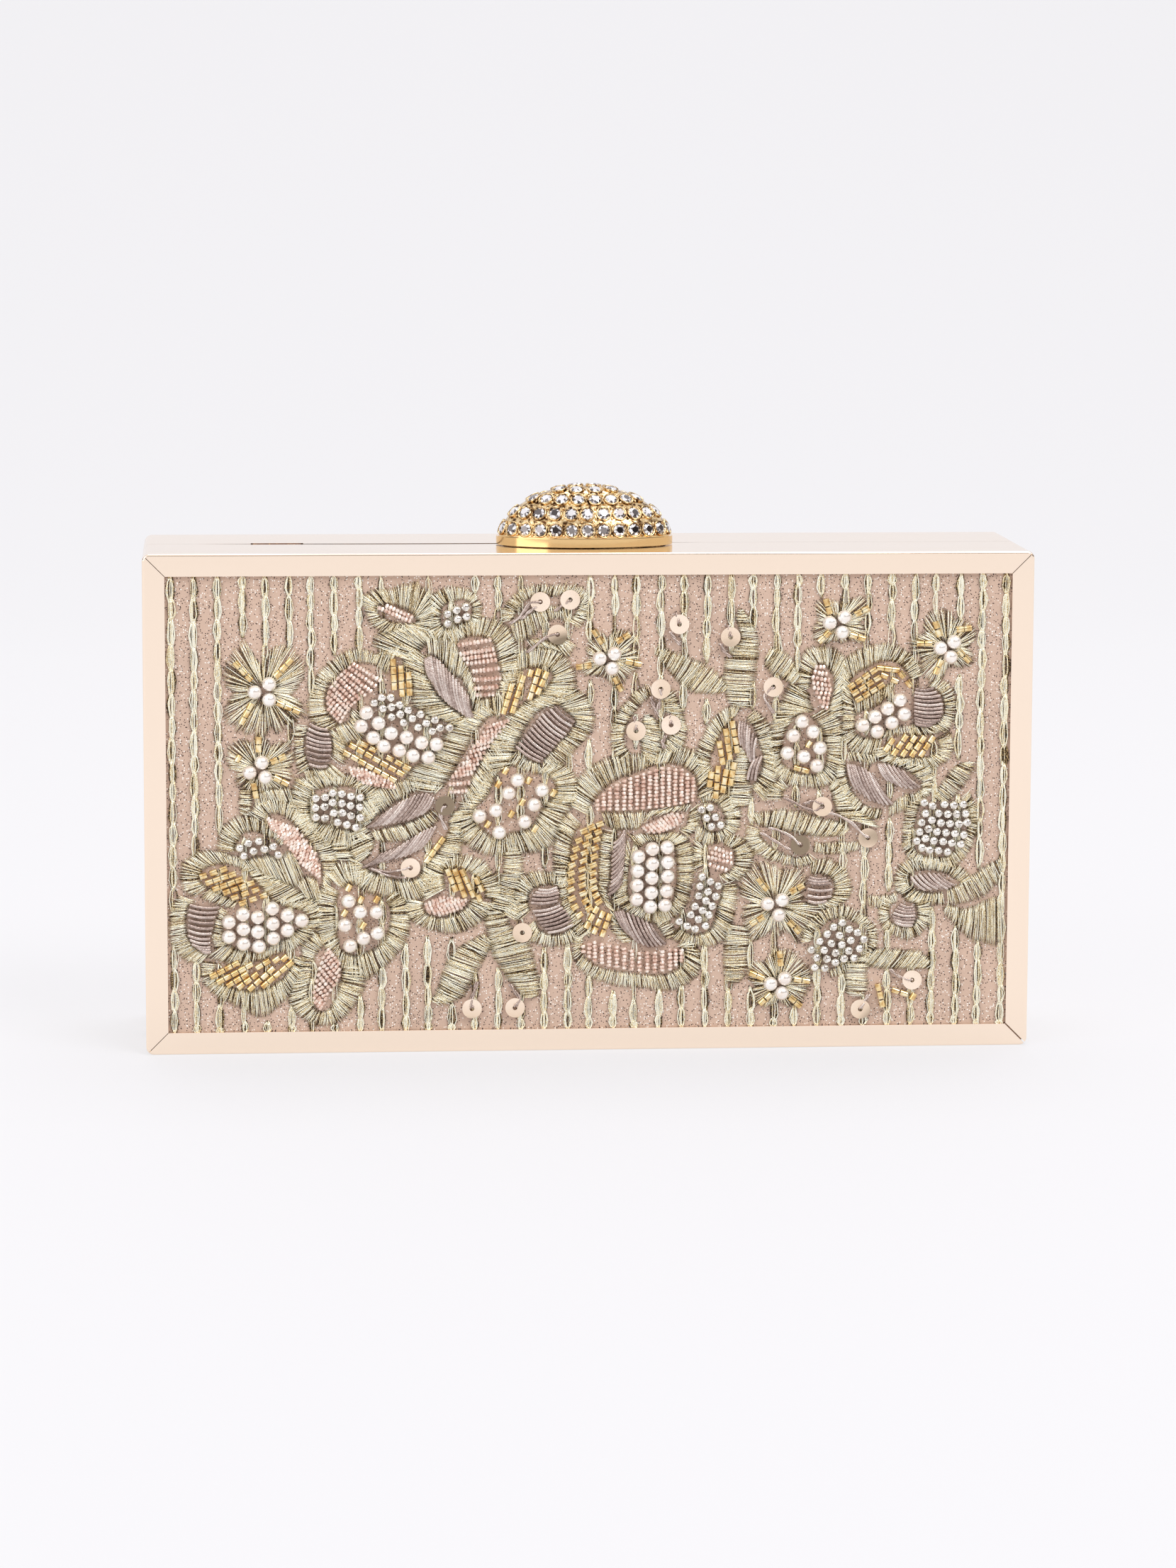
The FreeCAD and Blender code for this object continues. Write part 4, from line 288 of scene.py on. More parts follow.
-1.4 23.6 -3.2 24.4, -2.0 21.6 -3.6 20.6, -1.2 19.6 -2.6 17.6, 0.6 18.0 -0.6 15.8, 2.6 17.2 1.6 14.8,
5.0 16.6 4.4 14.0, 7.6 16.2 7.4 13.4, 10.0 15.8 10.2 13.4, 12.2 15.6 12.8 12.8, 14.4 15.6 15.4 12.4,
16.6 15.8 18.0 12.6, 18.6 16.8 20.6 13.8, 19.8 18.2 22.8 15.8, 20.2 19.8 23.6 18.0, 20.0 21.2 23.2 20.6,
18.4 22.0 21.4 22.8;
-73.8 42.8 -77.4 43.4, -73.9 44.2 -77.2 46.0, -73.0 45.4 -76.0 48.2, -72.2 46.6 -74.0 49.8,
-70.6 47.0 -71.6 50.2, -69.0 46.8 -69.2 50.0, -67.4 46.0 -67.2 48.6, -65.8 45.4 -65.2 47.2,
-64.4 43.8 -63.2 45.2;
-73.4 41.4 -72.2 39.8, -71.0 41.0 -68.6 37.6, -69.0 41.6 -66.4 36.8, -67.0 41.8 -64.2 36.2,
-65.0 41.2 -62.6 35.4, -63.6 42.0 -61.0 35.0, -62.2 43.4 -59.8 37.6;
-68.6 35.6 -65.0 37.2, -67.6 33.4 -62.6 35.8, -65.6 31.8 -60.8 34.4, -63.4 31.4 -58.6 33.4,
-61.4 30.8 -57.0 31.8;
-60.8 36.2 -58.8 32.4, -58.8 37.6 -57.0 32.2, -57.0 36.6 -55.6 31.8;
-67.8 49.4 -70.8 50.8, -66.8 50.6 -69.0 53.4, -65.0 50.6 -65.6 53.8, -63.2 49.8 -62.4 53.2,
-61.6 48.6 -59.4 51.2, -60.0 46.8 -57.0 48.8, -58.4 45.0 -55.0 46.4, -57.0 43.0 -53.8 43.8,
-56.0 40.8 -52.6 41.0, -55.6 38.4 -53.4 38.0, -55.6 36.2 -54.6 33.6;
-79.6 35.2 -82.6 33.4, -80.8 35.8 -84.6 34.6, -81.4 37.4 -85.2 37.4, -80.8 38.8 -84.8 40.4,
-79.2 39.6 -82.6 42.0, -77.4 40.2 -79.8 43.0, -75.4 40.2 -76.6 42.6, -73.2 39.6 -73.2 41.2,
-71.2 38.4 -69.4 39.2, -70.0 36.8 -66.4 37.4, -68.4 35.2 -65.2 35.8;
-79.2 35.0 -81.0 33.0, -77.4 34.0 -79.2 32.2, -75.4 33.0 -77.0 31.4, -73.4 31.8 -74.6 30.8;
-82.4 32.4 -85.4 33.4, -83.8 31.2 -87.0 31.2, -84.2 29.0 -87.4 28.6, -84.2 26.8 -87.4 26.2,
-83.8 24.8 -87.2 23.8, -82.6 23.0 -86.0 21.4, -81.2 21.8 -83.8 19.6, -79.4 21.2 -81.2 19.2;
-76.8 31.0 -75.4 30.2, -77.8 28.6 -76.6 28.2, -78.2 26.4 -76.6 26.2, -78.6 24.4 -76.4 24.0,
-78.0 22.2 -75.6 22.8;
-76.2 23.2 -79.8 20.6, -74.4 22.6 -77.0 19.6, -72.6 21.6 -74.0 19.2, -70.6 21.4 -71.0 19.0,
-68.8 21.2 -69.0 19.8, -66.6 22.6 -67.0 20.6, -64.4 23.8 -64.4 21.4, -62.6 24.4 -61.4 22.0,
-61.2 25.8 -58.4 24.4, -59.2 27.0 -56.2 27.2, -58.4 28.8 -55.6 29.8, -59.8 30.2 -56.8 32.0,
-62.2 30.8 -60.4 32.4, -64.4 31.4 -64.4 33.0;
-77.8 19.2 -80.8 19.6, -78.6 17.4 -81.0 17.2, -78.2 15.8 -80.4 14.6, -76.6 14.6 -78.4 12.6,
-75.0 14.0 -76.2 11.4, -73.2 13.6 -73.8 10.2, -71.4 13.2 -71.4 9.0, -69.8 13.2 -69.4 7.8,
-68.0 13.6 -67.2 8.0, -66.4 14.2 -65.2 9.8, -64.8 15.2 -63.4 11.6, -63.2 16.6 -61.4 14.2,
-62.2 18.4 -59.8 16.8, -61.8 20.4 -59.2 19.8;
-53.6 22.8 -53.2 25.0, -55.6 23.0 -57.6 25.4, -57.0 21.2 -60.0 22.6, -57.8 19.0 -60.4 19.4,
-58.2 16.8 -61.0 16.4, -58.8 14.6 -62.4 13.8, -59.0 12.6 -62.8 11.2, -58.4 10.6 -61.6 8.6,
-57.4 9.2 -59.4 6.8, -56.0 8.4 -56.8 5.8, -54.6 9.0 -53.8 6.0, -53.4 10.6 -51.0 7.6,
-52.6 12.6 -48.8 10.4, -52.2 14.6 -47.2 13.2, -51.8 16.6 -46.6 16.0, -51.4 18.6 -47.8 18.8;
-52.4 34.0 -55.8 36.2, -53.0 31.8 -57.0 32.6, -53.2 29.0 -57.4 28.8, -53.0 26.8 -56.8 25.8,
-52.8 24.4 -55.8 22.8, -52.2 22.0 -53.0 20.0, -50.8 20.8 -51.4 17.2, -49.2 20.4 -48.8 15.2,
-47.2 21.0 -45.8 15.8, -45.2 21.8 -43.4 17.6, -43.4 23.0 -41.0 19.8, -42.4 24.6 -39.0 22.2,
-41.8 26.4 -37.8 25.0, -41.4 28.4 -37.6 28.0, -41.6 30.4 -37.8 31.2, -42.6 32.2 -40.2 34.6;
-52.0 34.8 -55.2 38.0, -50.4 35.8 -52.6 40.2, -49.0 35.8 -49.6 40.4, -47.6 34.8 -46.6 38.0;
-53.8 44.6 -50.4 45.2, -53.8 42.6 -50.0 42.8, -52.8 40.8 -49.4 40.8;
-50.6 45.8 -46.2 47.8, -50.4 43.6 -45.2 46.0, -49.8 41.6 -45.0 43.8, -49.0 39.8 -46.0 41.6;
-72.6 55.6 -70.2 55.4, -72.8 53.0 -70.4 52.8, -72.6 50.4 -70.6 50.2;
-69.8 54.6 -69.2 51.2, -67.2 55.4 -66.6 53.4, -64.8 55.6 -63.8 53.0, -62.6 56.0 -61.4 52.6;
"""

BULLION = """
-34.3 82.9 -33.2 78.2, -33.2 83.3 -31.2 74.9, -31.4 82.4 -29.4 73.0, -29.4 80.0 -27.8 71.9,
-27.4 77.8 -25.8 70.4, -25.6 75.2 -24.4 70.2;
-7.7 72.7 -3.3 69.2, -10.3 71.2 -5.0 66.6, -12.0 69.0 -6.9 64.6, -13.8 66.9 -8.6 62.6,
-15.6 64.4 -10.4 61.0;
-58.4 69.4 -54.4 68.0, -59.0 67.4 -53.8 66.0, -59.2 64.8 -53.6 63.8, -59.0 62.4 -54.0 61.6,
-58.6 61.0 -54.6 60.4;
-46.6 47.4 -43.0 50.4, -44.2 47.8 -39.6 52.8, -41.2 48.2 -36.4 54.4, -38.2 48.8 -34.0 54.8,
-35.4 50.0 -32.6 53.8;
-47.6 39.0 -43.2 42.2, -44.6 40.0 -39.6 43.6, -41.8 40.6 -36.8 45.4, -38.8 41.2 -34.4 47.0,
-35.8 42.6 -32.2 47.8;
-83.4 31.6 -77.0 31.0, -83.8 29.6 -77.8 29.0, -83.8 27.4 -78.4 26.6, -83.8 25.2 -79.0 24.4,
-83.0 23.4 -79.0 22.6, -81.2 22.2 -78.8 21.6;
4.8 43.6 7.2 46.6, 4.4 40.8 7.3 44.6, 4.4 38.0 7.2 41.8, 4.2 35.4 7.0 38.8, 3.6 32.8 6.7 35.8;
5.2 29.4 8.2 24.4, 6.8 29.6 10.4 22.4, 8.8 28.8 12.4 21.6, 10.8 27.8 14.2 21.8, 12.6 26.8 16.0 22.2;
-11.0 34.2 -6.8 34.6, -12.2 33.0 -6.4 33.4, -12.6 31.4 -6.6 31.8;
-12.2 29.6 -6.2 30.8, -11.2 27.8 -5.0 29.8, -10.4 26.4 -4.0 28.4, -9.0 25.0 -3.4 26.8;
31.1 69.4 31.4 64.0, 32.2 69.2 32.6 62.4, 33.2 67.8 33.4 60.6, 34.6 65.8 34.2 60.6;
34.4 61.4 32.8 56.8, 35.8 62.0 34.4 56.6;
67.6 75.8 71.8 76.0, 67.4 74.4 73.2 74.4, 67.4 72.8 73.8 72.6, 67.4 71.2 73.8 71.0, 67.4 69.8 73.2 69.2,
67.6 68.6 71.6 68.2;
53.8 60.2 55.6 54.6, 55.2 60.0 58.8 52.2, 57.4 59.2 61.6 51.2, 59.0 57.8 63.4 51.4;
60.2 60.2 62.4 56.4, 61.4 60.2 65.4 55.0, 63.2 59.8 67.6 54.6, 65.2 58.8 69.2 55.0;
45.8 36.4 49.6 36.0, 45.4 35.2 50.8 35.0, 45.4 33.8 51.0 33.6, 45.4 32.4 50.8 32.2, 45.6 31.2 49.8 31.2;
67.4 36.2 70.6 33.2, 69.0 36.8 73.2 33.4, 71.0 37.0 75.4 33.4, 73.0 36.8 76.8 34.2;
65.0 30.4 68.2 29.8, 64.0 29.2 68.6 28.6, 63.4 27.8 68.6 27.2, 64.0 26.6 68.0 25.8;
"""

CUT_BEADS = """
1.35, -49.5 81.8 -43.4 78.0, -51.2 80.4 -45.4 75.8, -52.6 79.0 -47.8 74.2, -54.0 77.2 -49.4 72.8,
-54.8 75.0 -50.6 71.2, -54.6 72.6 -51.6 69.4;
1.5, -27.8 85.4 -20.6 86.6, -27.4 83.6 -20.0 84.6, -26.0 81.6 -19.4 82.4, -24.8 80.0 -18.8 80.6,
-24.6 78.2 -18.6 78.6, -24.4 76.4 -19.2 76.8, -24.0 75.0 -20.0 75.2;
1.5, -22.0 68.2 -16.8 69.8, -23.2 66.0 -18.6 67.6, -24.6 64.2 -20.2 65.6, -26.0 61.8 -21.8 63.2,
-27.6 59.6 -23.2 60.8, -29.0 58.0 -24.4 58.8, -29.6 56.4 -25.0 56.8, -29.4 54.8 -25.6 55.0;
1.4, -50.4 60.0 -46.2 59.4, -49.6 58.6 -41.6 57.4, -47.6 57.0 -40.4 55.8;
1.58, 1.6 50.6 1.4 53.2, 4.0 50.6 4.0 55.6, 7.0 50.6 7.0 57.2, 11.0 50.8 11.0 58.6, 15.0 51.2 15.0 59.8,
19.0 51.8 19.0 59.4, 21.4 52.4 21.4 57.6;
1.58, -1.4 20.4 -1.4 22.6, 1.0 18.6 1.0 23.2, 4.0 17.6 4.0 22.4, 7.2 17.0 7.2 21.8, 10.4 16.4 10.4 20.8,
13.6 16.2 13.6 20.8, 16.8 16.6 16.8 21.4, 19.2 18.4 19.2 21.4;
1.6, -67.2 49.6 -60.6 47.0, -66.4 47.6 -57.0 41.8, -63.8 44.8 -56.2 39.4, -60.6 40.6 -56.2 37.0;
1.4, -54.8 22.2 -52.2 18.6, -55.8 20.6 -52.2 16.0, -56.6 18.2 -53.2 14.0, -57.2 15.6 -54.6 12.2,
-57.8 13.2 -55.4 10.2, -57.6 11.0 -56.0 9.2;
1.25, 46.6 80.6 49.0 80.4, 46.0 78.4 50.0 77.6, 46.2 76.2 50.4 75.6, 47.2 74.2 50.0 73.8,
48.0 72.4 49.6 71.8;
1.3, -34.6 31.0 -30.2 33.0, -34.0 29.6 -25.6 32.2, -31.8 29.0 -26.6 30.6;
1.3, 10.8 46.8 17.4 50.0, 11.8 46.0 19.6 49.6, 14.0 46.0 18.6 47.8;
1.4, 25.8 42.6 29.8 41.2, 24.4 40.8 29.8 39.4, 24.6 39.2 28.8 37.8;
1.2, -44.2 93.4 -37.2 90.4, -42.6 93.8 -36.8 91.2;
"""

TAILS = """
-10.6 94.4, -12.6 94.2, -13.8 92.6, -15.0 91.2, -17.0 89.8;
-11.6 93.4, -13.0 92.2, -14.6 90.8;
-4.4 94.8, -5.8 93.8, -7.6 92.4;
-7.0 87.8, -9.0 87.2, -11.2 85.6, -13.4 83.8;
14.5 76.2, 14.4 74.4, 14.0 71.8;
12.4 74.6, 13.0 72.8, 13.8 70.6;
18.3 89.8, 17.8 91.0, 17.4 92.0;
16.4 88.2, 17.2 86.8, 18.6 85.2;
29.0 87.0, 28.6 88.2, 28.2 89.4;
27.0 85.6, 27.6 84.0, 29.2 82.6;
38.0 76.4, 36.6 75.2, 36.4 73.6, 38.2 70.8;
9.4 67.6, 9.2 69.0, 9.1 70.4;
16.7 68.8, 16.5 69.8, 16.3 71.0;
15.6 66.4, 15.0 65.0, 15.4 63.6;
-30.3 52.0, -31.2 50.8, -31.0 49.0, -30.0 46.8;
-37.4 39.2, -39.4 38.6, -42.0 38.2, -45.4 38.8;
-38.6 37.0, -41.0 37.2, -43.6 38.0, -46.0 39.0;
-24.7 9.2, -24.8 11.0, -24.2 12.8, -23.6 14.8;
-15.7 9.4, -14.8 11.0, -16.0 13.0, -16.8 14.2;
48.5 51.2, 46.8 50.4, 44.0 51.4, 40.4 53.2;
48.5 51.8, 46.4 52.4, 44.6 51.8;
44.0 43.2, 42.4 44.6, 40.0 46.0, 37.4 46.8;
41.8 42.2, 39.6 43.4, 37.4 44.8, 35.6 45.8;
58.2 44.6, 56.4 46.0, 54.6 47.8, 52.0 49.2, 49.6 50.0;
67.9 14.2, 66.0 14.6, 64.4 15.4, 63.2 16.6;
57.0 8.2, 57.8 9.6, 58.8 11.2;
"""

# ---------------------------------------------------------------- reading the layout

def shapes_of(text):
    """The shapes of a layout, each a list of its groups of numbers."""
    return [[[float(word) for word in group.split()] for group in shape.split(",")]
            for shape in text.split(";") if shape.strip()]


def ruled_lines(ribs, spacing):
    """Lines ruled between neighbouring ribs, evenly spaced; each is (start, end)."""
    ribs = np.array(ribs)
    lines = []
    for first, second in zip(ribs[:-1], ribs[1:]):
        gaps = np.hypot(*(second - first).reshape(2, 2).T)
        count = max(1, round(float(gaps.mean() * 0.5 + gaps.max() * 0.5) / spacing))
        for step in range(count):
            lines.append(first + (second - first) * step / count)
    lines.append(ribs[-1])
    return np.array(lines)


def inside(point, outline):
    """True where a point lies in a closed outline."""
    x, z = point
    hit = False
    for (x0, z0), (x1, z1) in zip(outline, outline[1:] + outline[:1]):
        if (z0 > z) != (z1 > z) and x < x0 + (x1 - x0) * (z - z0) / (z1 - z0):
            hit = not hit
    return hit


# ---------------------------------------------------------------- mesh building

class Heap:
    """Vertices and faces gathered for one mesh, with one shade from 0 to 1 for each vertex."""

    def __init__(self):
        self.points, self.faces, self.shades = [], [], []

    def add(self, points, faces, shade):
        start = len(self.points)
        self.points.extend(points)
        self.faces.extend([tuple(start + index for index in face) for face in faces])
        self.shades.extend([shade] * len(points))

    def piece(self, name, body, slot, material, smooth=True):
        mesh = bpy.data.meshes.new(name)
        mesh.from_pydata([(x * MM, y * MM, z * MM) for x, y, z in self.points], [], self.faces)
        mesh.polygons.foreach_set("use_smooth", [smooth] * len(mesh.polygons))
        shade = mesh.attributes.new("shade", "FLOAT", "POINT")
        shade.data.foreach_set("value", np.array(self.shades, np.float32))
        mesh.update()
        thing = bpy.data.objects.new(name, mesh)
        bpy.context.scene.collection.objects.link(thing)
        mesh.materials.append(material)
        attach(thing, body)
        return thing


def tube(heap, line, radii, sides, shade, flat=1.0):
    """A closed tube along points, as thick as its radii; flat presses it against the panel."""
    line = np.asarray(line, float)
    count = len(line)
    along = np.gradient(line, axis=0)
    along /= np.linalg.norm(along, axis=1)[:, None] + 1e-12
    out = np.array([0.0, -1.0, 0.0])
    across = np.cross(along, out)
    across /= np.linalg.norm(across, axis=1)[:, None] + 1e-12
    up = np.cross(across, along)
    turn = 2 * np.pi * (np.arange(sides) + 0.5) / sides
    radii = np.broadcast_to(radii, count)
    ring = (across[:, None, :] * np.cos(turn)[None, :, None]
            + up[:, None, :] * (flat * np.sin(turn))[None, :, None]) * radii[:, None, None]
    points = (line[:, None, :] + ring).reshape(-1, 3).tolist()
    faces = []
    for station in range(count - 1):
        low = station * sides
        for side in range(sides):
            beside = (side + 1) % sides
            faces.append((low + side, low + beside, low + sides + beside, low + sides + side))
    faces.append(tuple(range(sides))[::-1])
    faces.append(tuple(range((count - 1) * sides, count * sides)))
    heap.add(points, faces, shade)


def ball(heap, middle, radius, rings, sides, shade, squeeze=1.0):
    """A small round bead, squeezed towards the panel."""
    x, y, z = middle
    points = [(x, y - radius * squeeze, z)]
    for ring in range(1, rings):
        angle = math.pi * ring / rings
        for side in range(sides):
            turn = 2 * math.pi * side / sides
            points.append((x + radius * math.sin(angle) * math.cos(turn),
                           y - radius * squeeze * math.cos(angle),
                           z + radius * math.sin(angle) * math.sin(turn)))
    points.append((x, y + radius * squeeze, z))
    faces = [(0, 1 + (side + 1) % sides, 1 + side) for side in range(sides)]
    for ring in range(rings - 2):
        low = 1 + ring * sides
        for side in range(sides):
            beside = (side + 1) % sides
            faces.append((low + side, low + beside, low + sides + beside, low + sides + side))
    low = 1 + (rings - 2) * sides
    faces += [(low + side, low + (side + 1) % sides, len(points) - 1) for side in range(sides)]
    heap.add(points, faces, shade)


def smooth_path(points, steps):
    """A smooth curve through points, as a Catmull-Rom line."""
    points = [np.array(point, float) for point in points]
    points = [2 * points[0] - points[1]] + points + [2 * points[-1] - points[-2]]
    line = []
    for index in range(1, len(points) - 2):
        before, start, end, after = points[index - 1:index + 3]
        for step in range(steps):
            t = step / steps
            line.append(0.5 * (2 * start + (end - before) * t
                               + (2 * before - 5 * start + 4 * end - after) * t ** 2
                               + (3 * start - before - 3 * end + after) * t ** 3))
    line.append(points[-2])
    return np.array(line)


# ---------------------------------------------------------------- stitches

THREAD_RADIUS = 0.1
THREAD_WIDTHS = (0.75, 1.1)
THREAD_SPACING = 0.19
THREAD_STATIONS = 6
SHORTEST_THREAD = 0.2
THREAD_DIVE = 0.05
THREAD_ENDS = 0.55
THREAD_SWELL = 0.45
ARCH_POWER = 0.55
# The dark share, its tones and its sink paint shade: dark threads laid deeper, between the light ones, where
# shade falls in the gaps.
PAINTED_SHADE_SHARE = 0.33
PAINTED_SHADE_TONES = (0.0, 0.2)
LIGHT_TONES = (0.5, 1.0)
PAINTED_SHADE_SINK = 0.12
LIFT_SCATTER = 0.05


def thread(heap, start, end, base, rise, shade, radius=THREAD_RADIUS, sides=5, bend=0.0):
    """One thread that dives into the cloth at both ends and stands up between them."""
    start, end = np.array(start, float), np.array(end, float)
    along = end - start
    length = math.hypot(*along)
    if length < SHORTEST_THREAD:
        return
    normal = np.array([-along[1], along[0]]) / length
    t = np.linspace(0, 1, THREAD_STATIONS)
    arch = np.sin(np.pi * t) ** ARCH_POWER
    place = start + along * t[:, None] + normal * (bend * np.sin(np.pi * t))[:, None]
    height = FABRIC_Y - base - rise * arch + THREAD_DIVE
    line = np.column_stack([place[:, 0], height, place[:, 1]])
    radii = radius * (THREAD_ENDS + THREAD_SWELL * arch)
    tube(heap, line, radii, sides, shade, flat=0.9)


def frayed(amount):
    """A random amount either way."""
    return random.uniform(-amount, amount)


def lit(share=PAINTED_SHADE_SHARE):
    """How light a thread is, and how deep it lies. The dark ones, sunk between the light ones, are painted
    shade in the gaps between threads; the light ones vary in tone at random.
    """
    if random.random() < share:
        return random.uniform(*PAINTED_SHADE_TONES), -PAINTED_SHADE_SINK
    return random.uniform(*LIGHT_TONES), frayed(LIFT_SCATTER)


BAND_BASE = 0.2
BAND_STEP = 0.05
BAND_LEVELS = 4
LEAST_RISE = 0.18
MOST_RISE = 0.6
RISE_PER_LENGTH = 0.1
NOT_ZERO = 0.01
START_REACH = (0.05, 0.4)
END_REACH = (0.0, 0.4)
START_FRAY = 0.07
END_FRAY = 0.14
SATIN_BEND = 0.12
STRAY_SHARE = 0.35
STRAY_START = 0.5
STRAY_END = 0.8
STRAY_LIFT = 0.16
STRAY_TONES = (0.3, 1.0)
STRAY_RADIUS = 0.075
STRAY_BEND = 0.25


def satin_bands(ribs_of_bands):
    """Bands of satin stitch: the threads lie side by side between the ribs."""
    heap = Heap()
    for order, ribs in enumerate(ribs_of_bands):
        base = BAND_BASE + BAND_STEP * (order % BAND_LEVELS)
        for x0, z0, x1, z1 in ruled_lines(ribs, THREAD_SPACING):
            long = math.hypot(x1 - x0, z1 - z0)
            rise = min(MOST_RISE, LEAST_RISE + RISE_PER_LENGTH * long)
            ahead = (x1 - x0) / (long + NOT_ZERO), (z1 - z0) / (long + NOT_ZERO)
            inner, outer = random.uniform(*START_REACH), random.uniform(*END_REACH)
            start = (x0 - ahead[0] * inner + frayed(START_FRAY), z0 - ahead[1] * inner + frayed(START_FRAY))
            end = (x1 + ahead[0] * outer + frayed(END_FRAY), z1 + ahead[1] * outer + frayed(END_FRAY))
            shade, lift = lit()
            thread(heap, start, end, base + lift, rise, shade, bend=frayed(SATIN_BEND),
                   radius=THREAD_RADIUS * random.uniform(*THREAD_WIDTHS))
            if random.random() < STRAY_SHARE:
                thread(heap, (start[0] + frayed(STRAY_START), start[1] + frayed(STRAY_START)),
                       (end[0] + frayed(STRAY_END), end[1] + frayed(STRAY_END)), base + STRAY_LIFT, rise,
                       random.uniform(*STRAY_TONES), radius=STRAY_RADIUS, sides=4, bend=frayed(STRAY_BEND))
    return heap


PETAL_SPACING = 0.27
PETAL_STARTS = (0.1, 0.34)
PETAL_ENDS = (0.92, 1.04)
# Share of petal threads made dark and sunk deeper: painted shade between the threads.
PETAL_PAINTED_SHADE_SHARE = 0.38
PETAL_FRAY = 0.12
PETAL_BASE = 0.26
PETAL_RISE = 0.5
PETAL_BEND = 0.25


def flower_petals():
    """Flowers: threads from the middle out to a scalloped edge."""
    heap = Heap()
    for (x, z), *outline in shapes_of(FLOWERS):
        for first, second in zip(outline, outline[1:] + outline[:1]):
            long = math.hypot(second[0] - first[0], second[1] - first[1])
            steps = max(2, round(long / PETAL_SPACING))
            for step in range(steps):
                t = step / steps
                edge_x = first[0] + (second[0] - first[0]) * t
                edge_z = first[1] + (second[1] - first[1]) * t
                start = random.uniform(*PETAL_STARTS)
                reach = random.uniform(*PETAL_ENDS)
                shade, lift = lit(PETAL_PAINTED_SHADE_SHARE)
                tip_x = x + (edge_x - x) * reach + frayed(PETAL_FRAY)
                tip_z = z + (edge_z - z) * reach + frayed(PETAL_FRAY)
                thread(heap, (x + (edge_x - x) * start, z + (edge_z - z) * start), (tip_x, tip_z),
                       PETAL_BASE + lift, PETAL_RISE, shade, bend=frayed(PETAL_BEND),
                       radius=THREAD_RADIUS * random.uniform(*THREAD_WIDTHS))
    return heap


def outlines():
    """Closed outlines of all that is embroidered, to keep the chain stitch from under it."""
    shapes = [outline for _, *outline in shapes_of(FLOWERS)]
    bands = shapes_of(SATIN) + shapes_of(BULLION) + [ribs for _, *ribs in shapes_of(CUT_BEADS)]
    for ribs in bands:
        for (ax, az, bx, bz), (cx, cz, dx, dz) in zip(ribs[:-1], ribs[1:]):
            shapes.append([(ax, az), (bx, bz), (dx, dz), (cx, cz)])
    return shapes


CHAIN_PIECES = 3
CHAIN_COLUMNS = 37
CHAIN_EDGE = 86.6
CHAIN_LOOP = 4.3
CHAIN_FIBRES = 20
CHAIN_REACH = 0.9
CHAIN_OVERLAP = 1.3
CHAIN_PINCH = 0.36
CHAIN_STAGGER = 2.5
CHAIN_LENGTHS = (0.8, 1.25)
CHAIN_MARGIN = 0.3
CHAIN_SHORTEST = 1.0
COLUMN_FRAY = 0.25
LOOP_SWAY = 0.2
LOOP_WIDTHS = (0.05, 1.0)
LOOP_SWELLS = (0.42, 0.68)
UPPER_DEPTH, UPPER_SWAY, UPPER_WIDTH = 0.25, 0.5, 0.74
LOWER_DEPTH, LOWER_SWAY, LOWER_WIDTH = 0.82, 0.4, 0.66
FIBRE_FRAY = 0.08
FIBRE_END_FRAY = 0.3
# Share of chain fibres made dark and laid lower: painted shade between the fibres.
FIBRE_PAINTED_SHADE_SHARE = 0.45
FIBRE_LIFT = 0.24
FIBRE_ARCH = 0.16
FIBRE_RADII = (0.075, 0.14)
COVERED_SHARE = 0.6
KNOT_LIFT = 0.2
KNOT_DROP = 0.3
KNOT_RADIUS = 0.25
KNOT_TONE = 0.3
KNOT_SQUEEZE = 0.8


